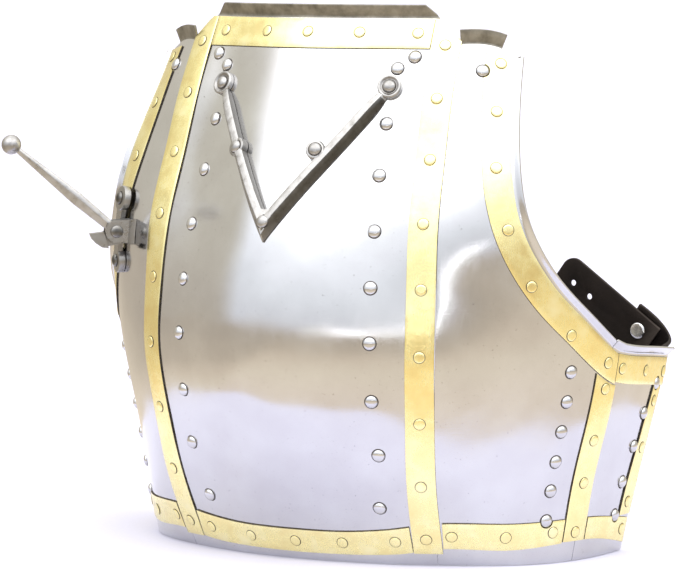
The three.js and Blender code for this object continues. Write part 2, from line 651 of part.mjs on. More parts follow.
function lanceBracket() {
  const parts = LOBES.map(([t, z, seat]) => {
    const edge = [[0, seat], [8.5, seat], [8.5, seat + 3.4], [7.4, seat + 4.2], [0, seat + 4.2]];
    return turned(edge, 10, standing(t, z, 0));
  });
  const heads = LOBES.map(([t, z, seat]) => rivet([t, z], { ...STEEL_RIVET, seat: seat + 4.2 }));
  // Bar from lobe to lobe, and the foot under the lugs.
  const bar = ([from, to], half, low, high) => {
    const line = path([from, to]);
    return tube(span(0, line.total, 3).map((s) => {
      const [a, b] = [beside(line, s, -half), beside(line, s, half)];
      return [lift(...a, low), lift(...b, low), lift(...b, high), lift(...a, high)];
    }));
  };
  parts.push(bar([[-158.5, 191.3], [-155, 232.5]], 4.5, 1.8, 5));
  parts.push(bar([[-160, 211.8], [-136, 211.2]], 8, 0.4, 4.6));
  // Lug with a rounded head round the pin and a foot that runs into the body.
  const lug = new THREE.Shape();
  lug.moveTo(-19, -9.5);
  lug.lineTo(-4, -7.4);
  lug.absarc(0, 0, 7.6, -2, 1.75, false);
  lug.lineTo(-19, 8.5);
  const [near, far] = LUGS.map(([z0, z1]) => outlinePlate(lug, z0, z1, pivotFrame, 6));
  // Quarter-round stop under the arm.
  const stop = new THREE.Shape();
  stop.moveTo(8.2, -0.8);
  stop.lineTo(17.5, -1.8);
  stop.quadraticCurveTo(15.5, -9.5, 5, -11.5);
  const stopRoot = new THREE.Shape();
  stopRoot.moveTo(0, 3);
  stopRoot.lineTo(9, -0.9);
  stopRoot.lineTo(7, -11);
  stopRoot.lineTo(-8, -8);
  parts.push(near, far, outlinePlate(stop, ARM_SIDES[0], LUGS[1][1], pivotFrame, 5));
  parts.push(outlinePlate(stopRoot, ...LUGS[1], pivotFrame));
  const patch = bodySheet(span(185, 240, 4).map((z) => span(-180, -120, 7).map((t) => [t, z])), -12, 0.4);
  const strip = mirrored(bodySheet(
    span(reachOf(armholeLine, 1, 180), reachOf(armholeLine, 1, 250), 7).map((s) => [
      beside(armholeLine, s, -HALF - GAP), beside(armholeLine, s, HALF + GAP),
    ]), -1, SEAT + BRASS + GAP).geometry());
  const brassHeads = ARMHOLE_RIVETS.map(flip).map(([t, z]) => (
    disc(BRASS_RIVET.radius + GAP, -1, SEAT + BRASS + BRASS_RIVET.height + GAP, 6, standing(t, z, 0))
  ));
  const bore = disc(PIN_RADIUS + GAP, -5, 20, 12, pivotFrame);
  const eyeRoom = disc(7.4, ...ARM_SIDES, 12, pivotFrame);
  return cut(join([...parts, ...heads]), [patch.geometry(), strip, ...brassHeads, bore, eyeRoom]);
}

// Pin through both lugs, with a domed head at the front and a small one behind.
function lancePin() {
  const [start, end] = [LUGS[0][0] - GAP, LUGS[1][1] + GAP];
  return turned([
    [0, start - 2.4], [2.6, start - 2], [4.3, start], [PIN_RADIUS, start], [PIN_RADIUS, end],
    [3.6, end], [3.2, end + 1.2], [0, end + 1.2],
  ], 12, pivotFrame);
}

// Arm with a bored eye, a tapering bar with a ridge along both faces, and a ball end.
function lanceArm() {
  const [front, back] = ARM_SIDES.map((z, i) => z + (i ? -GAP : GAP));
  const middle = (front + back) / 2;
  const frame = pivotFrame.clone().multiply(new THREE.Matrix4().makeRotationZ(ARM_RISE));
  const rings = [[3.5, 3.4, 2.4], [34, 4.4, 2.6], [ARM_LENGTH - 4, 1.9, 1.8]].map(([x, half, deep]) => [
    [half, 0.5 * deep], [0.3 * half, deep], [-half, 0.6 * deep],
    [-half, -0.6 * deep], [0.3 * half, -deep], [half, -0.5 * deep],
  ].map(([y, z]) => new THREE.Vector3(x, y, middle + z).applyMatrix4(frame)));
  const ball = new THREE.SphereGeometry(6.75, 10, 7).translate(ARM_LENGTH, 0, middle).applyMatrix4(frame);
  const eye = disc(6.5, front, back, 12, frame);
  return cut(join([eye, tube(rings), ball]), [disc(PIN_RADIUS + GAP, front - 5, back + 5, 12, frame)]);
}

// ---------------------------------------------------------------- leather
const STRAP_RIVET_AT = [160, 181, 144];        // on the strap's face, in the section table's coordinates
const STRAP_RISE = THREE.MathUtils.degToRad(36);
const STRAP_WIDTH = 31;
const STRAP_OFFSET = -4.5;                     // the strap's middle line, below the rivet
const STRAP_CORNER = 9;                        // radius of its tip's corners
const STRAP_LENGTH = 71;                       // from the rivet to the tip

// Frame on the strap's front face at the rivet: X along the strap, Y across it, Z towards the back.
const strapFrame = new THREE.Matrix4()
  .makeBasis(
    new THREE.Vector3(-Math.cos(STRAP_RISE), 0, Math.sin(STRAP_RISE)),
    new THREE.Vector3(Math.sin(STRAP_RISE), 0, Math.cos(STRAP_RISE)),
    new THREE.Vector3(0, 1, 0),
  )
  .setPosition(STRAP_RIVET_AT[0], STRAP_RIVET_AT[1] - ORIGIN_Y, STRAP_RIVET_AT[2]);

// Leather tab from inside the rear plate round to the back.
function strapTab() {
  const inside = -SHEET - GAP - LEATHER / 2 - 0.9;
  const plateUp = slopes(322, 110).alongZ.normalize();
  const [x, y, z] = STRAP_RIVET_AT;
  const back = y - ORIGIN_Y + LEATHER * 1.5 + 4 * GAP;
  const points = [
    lift(308, 106, inside), lift(322, 110, inside), lift(333, 114, inside),
    new THREE.Vector3(176.5, back - 5, 121), new THREE.Vector3(171.5, back - 0.2, 128),
    new THREE.Vector3(x + 4, back, 139), new THREE.Vector3(x - 9, back, 149),
  ];
  const line = new THREE.CatmullRomCurve3(points, false, 'centripetal');
  const sheet = new Sheet();
  let row = null;
  for (const f of span(0, 1, 13)) {
    const along = line.getTangentAt(f);
    const lean = plateUp.clone().lerp(new THREE.Vector3(0, 0, 1), THREE.MathUtils.smoothstep(f, 0.35, 0.6));
    const up = lean.addScaledVector(along, -along.dot(lean)).normalize();
    const outward = along.clone().cross(up);
    const place = (side, out) => line.getPointAt(f)
      .addScaledVector(up, side * STRAP_WIDTH / 2)
      .addScaledVector(outward, out * LEATHER / 2);
    const next = [-1, 1].map((side) => sheet.pair(place(side, -1), place(side, 1)));
    if (row) sheet.weave(row, next);
    row = next;
  }
  return sheet.geometry();
}

// Holes along the strap: distance from the rivet, distance across, radius.
const STRAP_HOLES = [[0, 0, 2.9], [42.4, STRAP_OFFSET, 2], [57.4, STRAP_OFFSET, 2]];

function backStrap() {
  const [low, high] = [STRAP_OFFSET - STRAP_WIDTH / 2, STRAP_OFFSET + STRAP_WIDTH / 2];
  const [x, r] = [STRAP_LENGTH - STRAP_CORNER, STRAP_CORNER];
  const shape = new THREE.Shape();
  shape.moveTo(-12, low);
  shape.lineTo(x, low);
  shape.absarc(x, low + r, r, -Math.PI / 2, 0, false);
  shape.absarc(x, high - r, r, 0, Math.PI / 2, false);
  shape.lineTo(-12, high);
  for (const [along, across, radius] of STRAP_HOLES) {
    const hole = new THREE.Path();
    hole.absarc(along, across, radius, 0, 2 * Math.PI, true);
    shape.holes.push(hole);
  }
  return outlinePlate(shape, 0, LEATHER, strapFrame, 5);
}

// Flat head on the strap's front face, with a shank in the strap's hole.
const strapRivet = () => turned([
  [0, -1.8], [4.6, -1.8], [5.3, -1.2], [5.3, -GAP], [2.6, -GAP], [2.6, LEATHER], [0, LEATHER],
], 12, strapFrame);

// One-piece buckle: a frame with a middle bar, lying on the end of the right tab.
function buckle() {
  const frame = boxAt(4, 0, 1.1, 28, 42, 2.8, strapFrame);
  const windows = [-6.2, 6.2].map((x) => boxAt(4 + x, 0, 1.1, 8.8, 34, 10, strapFrame));
  return cut(frame, windows);
}

// ---------------------------------------------------------------- the assembly
const cuirass = new THREE.Group();

function add(name, geometry, material) {
  const mesh = new THREE.Mesh(geometry, material);
  mesh.name = name;
  cuirass.add(mesh);
}

function addPair(name, geometry, material) {
  add(`${name}_left`, geometry, material);
  add(`${name}_right`, mirrored(geometry), material);
}

const frontInner = beside(frontLine, 18, -HALF)[0];
const frontOuter = beside(frontLine, 18, HALF)[0];
const seamInner = beside(seamLine, 20, -HALF)[0];
const seamOuter = beside(seamLine, 20, HALF)[0];

add('centre_plate', centrePlate(), steel);
addPair('side_plate', sidePlate(), steel);
addPair('rear_plate', rearPlate(), steel);
add('neck_strip', neckStrip(), brass);
addPair('front_strip', frontStrip(), brass);
addPair('armhole_strip', cut(armholeStrip(), SIDE_RIVETS.map(rivetRoom)), brass);
addPair('rear_top_strip', cut(rearTopStrip(), REAR_RIVETS.map(rivetRoom)), brass);
addPair('seam_strip', seamStrip(), brass);
addPair('rear_edge_strip', cut(rearEdgeStrip(), REAR_RIVETS.map(rivetRoom)), brass);
add('waist_strip_centre', waistStrip(-frontInner + 1, frontInner - 1, 12), brass);
addPair('waist_strip_side', cut(waistStrip(frontOuter + 1, seamInner - 1, 9), SIDE_RIVETS.map(rivetRoom)), brass);
addPair('waist_strip_rear', cut(waistStrip(seamOuter + 1, 319, 6), REAR_RIVETS.map(rivetRoom)), brass);
add('stop_rib', stopRib(), forged);
add('lance_bracket', lanceBracket(), forged);
add('lance_pin', lancePin(), steel);
add('lance_arm', lanceArm(), forged);
addPair('strap_tab', strapTab(), leather);
add('back_strap_left', backStrap(), leather);
add('strap_rivet_left', strapRivet(), steel);
add('buckle_right', mirrored(buckle()), steel);

export default cuirass;
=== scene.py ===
"""Plate breastplate in polished steel and brass, with stop rib, lance rest and straps, and a plain studio."""
import math

import bmesh
import bpy
import numpy as np
from mathutils import Matrix, Vector


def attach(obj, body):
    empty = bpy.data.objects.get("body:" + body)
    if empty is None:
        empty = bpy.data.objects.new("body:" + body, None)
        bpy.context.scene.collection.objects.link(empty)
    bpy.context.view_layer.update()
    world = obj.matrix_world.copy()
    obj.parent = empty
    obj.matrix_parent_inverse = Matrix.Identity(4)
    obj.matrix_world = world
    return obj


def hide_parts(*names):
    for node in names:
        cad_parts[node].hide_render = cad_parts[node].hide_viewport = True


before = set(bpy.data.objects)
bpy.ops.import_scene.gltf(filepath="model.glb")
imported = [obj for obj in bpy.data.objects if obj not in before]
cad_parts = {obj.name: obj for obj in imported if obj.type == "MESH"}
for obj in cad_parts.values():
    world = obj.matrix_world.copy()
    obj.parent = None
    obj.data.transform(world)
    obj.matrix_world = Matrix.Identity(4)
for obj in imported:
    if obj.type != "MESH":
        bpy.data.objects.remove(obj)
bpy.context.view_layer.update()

bl_info = {
    "name": "Plate breastplate",
    "version": (1, 0, 0),
    "blender": (4, 5, 0),
    "location": "3D View > Sidebar > Breastplate",
    "description": "Builds the plates, strips, stop rib, lance rest, strap and studio of a plate breastplate",
    "category": "Object",
}

MM = 0.001

# ---------------------------------------------------------------- the body's form, in millimetres
ORIGIN_Y = 5.23          # middle of the waist edge, in the coordinates of the section table
SIDE_JOINT = 114.6       # girth of the joint between centre and side plates
SEAM_JOINT = 242.0       # girth of the joint between side and rear plates
NECK_HEIGHT = 356.0      # crease of the turned neck edge
CHAMFER_START = 100.0    # girth where the upper corner of the centre plate begins to fall
CHAMFER_DROP = 11.0      # its fall at the side joint
SHOULDER_HEIGHT = 332.0
SIDE_NECK_HEIGHT = 339.3
CREASE = 10.2            # from a strip's centre line to the crease of the turned edge
EDGE = 0.6               # strips stop this far from a crease or a free edge
JOINT_GAP = 0.15         # half the gap between two plates

FRONT_GIRTH = 105.0      # middle of the strip over the joint between centre and side plates
SEAM_GIRTH = 239.0       # middle of the strip over the joint between side and rear plates
HALF = 9.5               # half the width of a brass strip
STRIP_SEAT = 0.08        # gap under the strips

STATIONS = [0, 70, 105, 207, 242, 330]   # girths: centre, quarter, strip, flank, seam, rear
QUARTER_X = 68.0
# For each height, the plan position of each station on the outside of the steel.
SECTIONS = [
    # z, centreY, quarterY, stripX, stripY, flankX, flankY, seamX, seamY, rearX, rearY
    [0, 4.5, 14.5, 87.5, 22.0, 147.0, 62.0, 159.0, 86.0, 165.5, 152.0],
    [18, -3.5, 6.5, 89.8, 13.6, 150.5, 61.8, 162.0, 86.5, 168.5, 154.5],
    [53, -23.0, -9.0, 93.8, -0.8, 156.5, 61.2, 168.0, 87.5, 174.0, 159.0],
    [96, -43.0, -23.5, 98.1, -10.9, 165.5, 60.5, 178.5, 89.0, 181.0, 162.0],
    [139, -52.0, -32.0, 101.3, -17.4, 173.0, 58.0, 186.0, 90.0, 186.0, 168.6],
    [183, -49.0, -28.5, 101.1, -14.8, 175.0, 52.0, 189.0, 86.0, 188.0, 174.0],
    [226, -38.0, -17.5, 99.5, -8.7, 173.0, 48.0, 189.0, 82.0, 190.0, 178.0],
    [266, -22.0, -3.0, 96.8, 5.0, 168.0, 54.0, 184.0, 88.0, 191.0, 180.0],
    [305, -4.5, 12.0, 94.4, 18.4, 161.0, 77.0, 176.0, 111.0, 186.0, 196.0],
    [356, 20.0, 35.0, 91.0, 42.5, 153.0, 110.0, 166.0, 146.0, 177.0, 228.0],
]
# Centre line of the armhole strip, from the seam up to the shoulder: girth, height.
ARMHOLE_LINE = [
    [262, 123.5], [250, 126.8], [238, 132.3], [209.9, 154.3], [190, 174.6], [174.9, 197.6],
    [165.5, 220], [159.8, 243.9], [155, 278], [150.7, 329.4], [149.8, 345],
]
REAR_TOP_LINE = [[242, 129.8], [253, 127.6], [293, 123.1], [342.6, 118.4], [362, 116.8]]
REAR_EDGE = [[0, 320.5], [30, 322], [70, 328], [111, 338], [132, 345]]   # height, girth
# Lower and upper edge of the waist strips: girth, lower height, upper height.
WAIST_EDGES = [
    [0, 5.6, 21.6], [35, 6.0, 21.9], [90, 9.2, 27.0], [120, 12.0, 29.6],
    [175, 10.6, 28.4], [232, 13.4, 29.0], [255, 13.6, 28.5], [320, 5.6, 22.4],
]
# Steel rivets: girth, height.
CENTRE_RIVETS = [
    [66.2, 288.8], [68, 255.9], [71.1, 220.6], [72.9, 184.8], [74.2, 149.4],
    [73.4, 111.4], [73.3, 75.4], [66, 39.2], [66, 323.9], [78.4, 331.4],
]
SIDE_RIVETS = [
    [139.2, 322.7], [207, 128], [207, 108.2], [207, 88.3], [207, 68.3], [207, 48.9], [207, 28.9],
]
REAR_RIVETS = [[324, 112], [309.2, 93.3], [303.5, 71.4], [297.2, 48], [294.9, 25.9]]
# Brass rivets: girth, height.
NECK_RIVETS = [[-76, 346.2], [-32, 346.6], [0, 346.8], [34, 346.6], [77, 346.2]]
FRONT_RIVETS = [[FRONT_GIRTH, z] for z in (338.7, 304.8, 266, 225.7, 183.9, 140.9, 97.2, 55.1, 18.7)]
ARMHOLE_RIVETS = [
    [152, 326.9], [153.7, 296.6], [156.9, 261.2], [165.2, 222.2], [178.2, 185.5], [205.1, 152.5],
    [238, 132.4],
]
REAR_TOP_RIVETS = [[254.5, 127.4], [293, 123.1], [335, 119.1]]
SEAM_RIVETS = [[SEAM_GIRTH, z] for z in (115.1, 80.9, 52.5, 19.7)]
REAR_EDGE_RIVETS = [98, 68, 32]
WAIST_RIVETS = [
    [-73, 16.5], [-33, 13.9], [0.3, 13.5], [32, 14.2], [73, 16.5], [128.5, 20.8], [173.4, 19.4],
    [214.6, 21.1], [310.6, 15.5],
]


# ---------------------------------------------------------------- curves
def bends(xs):
    """Matrix that turns the values of a natural cubic spline into its second derivatives."""
    n = len(xs)
    system = np.eye(n)
    right = np.zeros((n, n))
    for i in range(1, n - 1):
        before, after = xs[i] - xs[i - 1], xs[i + 1] - xs[i]
        system[i, i - 1], system[i, i], system[i, i + 1] = before, 2 * (before + after), after
        right[i, i - 1], right[i, i], right[i, i + 1] = 6 / before, -6 / before - 6 / after, 6 / after
    return np.linalg.solve(system, right)


class Spline:
    """Natural cubic spline over fixed knots, as weights on the knots' values."""

    def __init__(self, xs):
        self.xs = np.array(xs, float)
        self.bends = bends(self.xs)

    def weights(self, x):
        x = np.atleast_1d(np.asarray(x, float))
        i = np.clip(np.searchsorted(self.xs, x, side="left") - 1, 0, len(self.xs) - 2)
        width = self.xs[i + 1] - self.xs[i]
        a = (self.xs[i + 1] - x) / width
        b = 1 - a
        w = ((a ** 3 - a)[:, None] * self.bends[i] + (b ** 3 - b)[:, None] * self.bends[i + 1])
        w *= (width * width / 6)[:, None]
        rows = np.arange(len(x))
        w[rows, i] += a
        w[rows, i + 1] += b
        return w


def curve(rows, k):
    """Function of a table's first column that passes through its column k."""
    table = np.array(rows, float)
    spline = Spline(table[:, 0])
    return lambda x: spline.weights(np.ravel(x)).dot(table[:, k]).reshape(np.shape(x))


class Line:
    """Smooth line through [girth, height] points, measured along its own length."""

    def __init__(self, points):
        points = np.array(points, float)
        reach = np.concatenate([[0], np.cumsum(np.hypot(*np.diff(points, axis=0).T))])
        self.total = reach[-1]
        self.points = points
        self.spline = Spline(reach)

    def __call__(self, s):
        p = self.spline.weights(np.ravel(s)) @ self.points
        return p[:, 0], p[:, 1]


# ---------------------------------------------------------------- the body
heights = np.array(SECTIONS, float)[:, 0]
columns = np.array(SECTIONS, float)[:, 1:]
height_spline = Spline(heights)
girth_spline = Spline([-t for t in STATIONS[:0:-1]] + STATIONS)
half_x = np.stack([0 * heights, 0 * heights + QUARTER_X] + [columns[:, k] for k in (2, 4, 6, 8)], 1)
half_y = np.stack([columns[:, k] for k in (0, 1, 3, 5, 7, 9)], 1)
KNOTS_X = np.concatenate([-half_x[:, :0:-1], half_x], 1)
KNOTS_Y = np.concatenate([half_y[:, :0:-1], half_y], 1)


def on_body(t, z):
    """Points on the outside of the steel at girth t and height z, in millimetres."""
    t, z = np.broadcast_arrays(np.asarray(t, float), np.asarray(z, float))
    level = height_spline.weights(z.ravel())
    girth = girth_spline.weights(t.ravel())
    x = ((level @ KNOTS_X) * girth).sum(1)
    y = ((level @ KNOTS_Y) * girth).sum(1) - ORIGIN_Y
    return np.stack([x, y, z.ravel()], 1).reshape(t.shape + (3,))


def unit(v):
    return v / np.linalg.norm(v, axis=-1, keepdims=True)


def slopes(t, z):
    """Change of position for a millimetre of girth and of height."""
    return (on_body(t + 0.5, z) - on_body(t - 0.5, z), on_body(t, z + 0.5) - on_body(t, z - 0.5))


def normal(t, z):
    """Outward direction of the body."""
    return unit(np.cross(*slopes(t, z)))


def ripple(t, z):
    """Slight unevenness that planishing leaves, about a tenth of a millimetre over some 60 mm."""
    t, z = np.asarray(t, float), np.asarray(z, float)
    soft = np.clip(np.minimum(z, NECK_HEIGHT - z) / 25, 0, 1)
    wave = (
        np.sin(t / 11.3 + 0.8 * np.sin(z / 19)) * np.sin(z / 13.7 + 1.1)
        + 0.8 * np.sin(t / 7.1 - z / 23 + 2.0) * np.sin(z / 9.1 + t / 31)
    )
    return 0.09 * wave * soft


def lift(t, z, out):
    """Points at a height above the steel, its unevenness included."""
    t, z = np.asarray(t, float), np.asarray(z, float)
    return on_body(t, z) + normal(t, z) * np.asarray(out + ripple(t, z))[..., None]


def beside(line, s, k):
    """Girth and height of points k mm to the right of a line, seen from outside, measured in the surface."""
    s = np.asarray(s, float)
    t, z = line(s)
    tangent = on_body(*line(s + 0.5)) - on_body(*line(s - 0.5))
    side = unit(np.cross(tangent, normal(t, z))) * k
    along_t, along_z = slopes(t, z)
    tt, tz, zz = (along_t ** 2).sum(-1), (along_t * along_z).sum(-1), (along_z ** 2).sum(-1)
    on_t, on_z = (side * along_t).sum(-1), (side * along_z).sum(-1)
    det = tt * zz - tz * tz
    return t + (on_t * zz - on_z * tz) / det, z + (on_z * tt - on_t * tz) / det


def reach_of(line, k, value, side=0.0):
    """Distance along a line at which its side point's girth (k 0) or height (k 1) reaches a value."""
    low, high = 0.0, line.total
    start = beside(line, [low], side)[k][0] < value
    for _ in range(36):
        middle = (low + high) / 2
        if (beside(line, [middle], side)[k][0] < value) == start:
            low = middle
        else:
            high = middle
    return low


def standing(t, z, out):
    """Matrix on the body: X to the right, Y up the surface, Z outwards; millimetres."""
    n = normal(np.array([t]), np.array([z]))[0]
    right = unit(np.cross([0, 0, 1], n))
    up = np.cross(n, right)
    m = np.eye(4)
    m[:3, 0], m[:3, 1], m[:3, 2], m[:3, 3] = right, up, n, lift(np.array([t]), np.array([z]), out)[0]
    return m


def upright(girth):
    """Upright line at a girth, measured by height."""
    return lambda s: (np.full(np.shape(s), girth), np.asarray(s, float))


armhole_line = Line(ARMHOLE_LINE)
rear_top_line = Line(REAR_TOP_LINE)
rear_girth = curve(REAR_EDGE, 1)
waist_low, waist_high = curve(WAIST_EDGES, 1), curve(WAIST_EDGES, 2)
front_line, seam_line = upright(FRONT_GIRTH), upright(SEAM_GIRTH)
ARMHOLE_END = 248.0      # girth where the armhole strip meets the rear top strip


def rear_line(s):
    return rear_girth(s), np.asarray(s, float)


def neck_edge(t):
    """Height of the neck crease, with the centre plate's chamfered corners."""
    beyond = np.maximum(0, np.abs(t) - CHAMFER_START)
    return NECK_HEIGHT - CHAMFER_DROP / (SIDE_JOINT - CHAMFER_START) * beyond


# ---------------------------------------------------------------- meshes
class Patch:
    """Open surface of quads in millimetres, with a material index for each face."""

    def __init__(self):
        self.points = []
        self.faces = []
        self.slots = []
        self.count = 0

    def row(self, points):
        self.points.append(np.asarray(points, float))
        first = self.count
        self.count += len(points)
        return list(range(first, self.count))

    def weave(self, row, following, slot=0):
        for i in range(len(row) - 1):
            self.faces.append((row[i], row[i + 1], following[i + 1], following[i]))
            self.slots.append(slot)

    def mesh(self, name):
        made = bpy.data.meshes.new(name)
        made.from_pydata((np.concatenate(self.points) * MM).tolist(), [], self.faces)
        made.polygons.foreach_set("material_index", self.slots)
        made.update()
        return made


def grid(rows, out):
    """Patch over the body from arrays of girth and height, rows upwards, at a height above the steel."""
    t, z = rows
    points = lift(t, z, out)
    patch = Patch()
    patch.rows = [patch.row(r) for r in points]
    for low, high in zip(patch.rows, patch.rows[1:]):
        patch.weave(low, high)
    return patch


def turn_edge(patch, chain, girths, levels, radius, angle, length, slot=0, mitred=(), narrow=0.0):
    """Edge turned outwards along a chain of corners: a bend, then a straight lip."""
    row = chain
    steps = [(a, 0.0) for a in np.linspace(0, angle, 8)[1:]] + [(angle, length * f) for f in (0.5, 1.0)]
    total = radius * angle + length
    for turn, straight in steps:
        f = (radius * turn + straight) / total
        t, z = girths * (1 - narrow * f), levels
        n = normal(t, z)
        p = on_body(t, z)
        tangent = np.gradient(p, axis=0)
        across = unit(np.cross(n, tangent))
        up = unit(slopes(t, z)[1])
        for i in mitred:
            across[i] = up[i]
        rise = radius * (1 - math.cos(turn)) + straight * math.sin(turn) + ripple(t, z)[:, None] * (1 - f)
        reach = radius * math.sin(turn) + straight * math.cos(turn)
        following = patch.row(p + n * rise + across * reach)
        patch.weave(row, following, slot)
        row = following


def lathe(profile, sides, matrix, slots=None):
    """Turned solid on a matrix's Z axis from a profile of (radius, height) that starts and ends on the axis.
    `slots` gives the material index of each stretch of the profile."""
    angles = np.linspace(0, 2 * math.pi, sides, endpoint=False)
    points, faces, rings = [[0, 0, profile[0][1]]], [], []
    for r, h in profile[1:-1]:
        rings.append(len(points))
        points += [[r * math.cos(a), r * math.sin(a), h] for a in angles]
    points.append([0, 0, profile[-1][1]])
    last = len(points) - 1
    for i in range(sides):
        j = (i + 1) % sides
        faces.append((0, rings[0] + j, rings[0] + i))
        for low, high in zip(rings, rings[1:]):
            faces.append((low + i, low + j, high + j, high + i))
        faces.append((last, rings[-1] + i, rings[-1] + j))
    return place(points, matrix), faces, list(slots or [0] * (len(profile) - 1)) * sides


def drum(radius, low, high, sides, matrix):
    """Plain round bar on a matrix's Z axis, for cutting holes."""
    return lathe([(0, low), (radius, low), (radius, high), (0, high)], sides, matrix)


def place(points, matrix):
    """Moves points by a 4 x 4 matrix."""
    points = np.asarray(points, float)
    return points @ matrix[:3, :3].T + matrix[:3, 3]


def prism(outline, z0, z1, matrix):
    """Plate with straight sides from a closed outline, counter-clockwise, in a matrix's XY plane."""
    n = len(outline)
    points = [[x, y, z0] for x, y in outline] + [[x, y, z1] for x, y in outline]
    faces = [tuple(range(n - 1, -1, -1)), tuple(range(n, 2 * n))]
    faces += [(i, (i + 1) % n, (i + 1) % n + n, i + n) for i in range(n)]
    return place(points, matrix), faces


def sweep(rings):
    """Solid through rings of equal count, closed at both ends; its winding follows the rings."""
    n = len(rings[0])
    faces = [tuple(range(n - 1, -1, -1)), tuple(range((len(rings) - 1) * n, len(rings) * n))]
    for r in range(len(rings) - 1):
        for i in range(n):
            j = (i + 1) % n
            faces.append((r * n + i, r * n + j, (r + 1) * n + j, (r + 1) * n + i))
    return np.concatenate([np.asarray(r, float) for r in rings]), faces


def solid_mesh(name, solids):
    """Mesh of closed solids, each turned right side out."""
    joined = bmesh.new()
    for points, faces, *slots in solids:
        part = bmesh.new()
        corners = [part.verts.new(p) for p in np.asarray(points) * MM]
        for face, slot in zip(faces, slots[0] if slots else [0] * len(faces)):
            part.faces.new([corners[i] for i in face]).material_index = slot
        bmesh.ops.recalc_face_normals(part, faces=part.faces)
        piece = bpy.data.meshes.new("part")
        part.to_mesh(piece)
        part.free()
        joined.from_mesh(piece)
        bpy.data.meshes.remove(piece)
    made = bpy.data.meshes.new(name)
    joined.to_mesh(made)
    joined.free()
    return made


def object_of(name, mesh, *materials):
    obj = bpy.data.objects.new(name, mesh)
    bpy.context.scene.collection.objects.link(obj)
    for material in materials:
        mesh.materials.append(material)
    return obj


def settle(obj):
    """Replaces an object's mesh by the result of its modifiers."""
    graph = bpy.context.evaluated_depsgraph_get()
    made = bpy.data.meshes.new_from_object(obj.evaluated_get(graph))
    old = obj.data
    obj.modifiers.clear()
    obj.data = made
    made.name = obj.name
    if old.users == 0:
        bpy.data.meshes.remove(old)


def round_edges(obj, width, segments=2, angle=35.0):
    bevel = obj.modifiers.new("edges", "BEVEL")
    bevel.width = width * MM
    bevel.segments = segments
    bevel.limit_method = "ANGLE"
    bevel.angle_limit = math.radians(angle)
    bevel.harden_normals = False


def thicken(obj, thickness, rim_slot=0):
    shell = obj.modifiers.new("sheet", "SOLIDIFY")
    shell.material_offset_rim = rim_slot
    shell.thickness = thickness * MM
    shell.offset = -1
    shell.use_even_offset = True


def smooth(obj, angle=38.0):
    obj.data.shade_smooth()
    obj.data.set_sharp_from_angle(angle=math.radians(angle))


def join_solids(obj, solids):
    """Adds closed solids, such as rivet heads, to a finished object."""
    heads = solid_mesh("heads", solids)
    whole = bmesh.new()
    whole.from_mesh(obj.data)
    whole.from_mesh(heads)
    whole.to_mesh(obj.data)
    whole.free()
    bpy.data.meshes.remove(heads)


def combine(obj, solids, operation):
    """Joins solids to an object, or cuts them out of it, by booleans."""
    helpers = []
    for k, solid in enumerate(solids):
        other = object_of(f"{obj.name}_helper{k}", solid_mesh("part", [solid]))
        helpers.append(other)
        step = obj.modifiers.new("combine", "BOOLEAN")
        step.operation, step.solver, step.object = operation, "EXACT", other
    bpy.context.view_layer.update()
    settle(obj)
    for other in helpers:
        mesh = other.data
        bpy.data.objects.remove(other)
        bpy.data.meshes.remove(mesh)


def mirror_copy(obj, name):
    mesh = obj.data.copy()
    mesh.name = name
    mesh.transform(Matrix.Scale(-1, 4, Vector((1, 0, 0))))
    mesh.flip_normals()
    return object_of(name, mesh)


def finish_piece(obj, node, body="cuirass"):
    """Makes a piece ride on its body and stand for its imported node."""
    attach(obj, body)
    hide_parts(node)


def finish_pair(obj, base):
    """Finishes the left piece and its mirror image on the right."""
    right = mirror_copy(obj, obj.name.replace("_left", "_right"))
    finish_piece(obj, f"{base}_left")
    finish_piece(right, f"{base}_right")


# ---------------------------------------------------------------- rivets
def steel_head(t, z, seat=0.0, residue_and_shade_slot=2):
    """Domed head, with a dark ring round its foot: old polish, and painted shade where the head meets the
    plate.
    """
    radius, height = size("steel_rivet") / 2, size("steel_rivet_height")
    foot = 0.3
    profile = [(0, -0.6), (radius + 0.55, -0.6), (radius + 0.55, 0.06), (radius, 0.1), (radius, foot)]
    for a in np.radians([12, 25, 38, 51, 64, 76, 84]):
        profile.append((radius * math.cos(a), foot + (height - foot) * math.sin(a)))
    profile.append((0, height))
    # The ring round the foot takes the dark material: painted shade with old polish.
    return lathe(profile, 28, standing(t, z, seat), [0, *[residue_and_shade_slot] * 3, *[0] * 8])


def brass_head(t, z, seat):
    """Head hammered nearly flat, with a dark ring round it: old polish, and painted shade where the head
    meets the strip.
    """
    radius, height = size("brass_rivet") / 2, size("brass_rivet_height")
    profile = [(0, -0.4), (radius + 0.4, -0.4), (radius + 0.4, 0.05), (radius, 0.08)]
    crown = ((1, 0.4), (0.93, 0.72), (0.7, 0.92), (0.4, 0.99), (0, 1))
    profile += [(r * radius, h * height) for r, h in crown]
    return lathe(profile, 24, standing(t, z, seat), [0, 1, 1, 1, 0, 0, 0, 0])


def flip(rivets):
    """The same rivets on the wearer's right."""
    return [[-t, z] for t, z in rivets]


def strip_top():
    """Height of a strip's outside above the steel."""
    return size("brass") + STRIP_SEAT


def strip_piece(name, rows, material, rivets=(), holes=()):
    """Brass strip from its grid, with holes round the steel rivets that it meets and its own rivet heads."""
    obj = object_of(name, grid(rows, strip_top()).mesh(name), material, residue_and_shade())
    # The side walls take material 1: a dark line along each edge of the strip, old polish and painted shade.
    thicken(obj, size("brass"), 1)
    round_edges(obj, 0.35)
    settle(obj)
    surface = on_body(*rows)
    close = [r for r in holes if np.min(np.linalg.norm(surface - on_body(*r), axis=-1)) < 5.5]
    if close:
        combine(obj, [drum(4.9, -3, 5, 32, standing(*r, 0)) for r in close], "DIFFERENCE")
    join_solids(obj, [brass_head(t, z, strip_top()) for t, z in rivets])
    smooth(obj)
    return obj


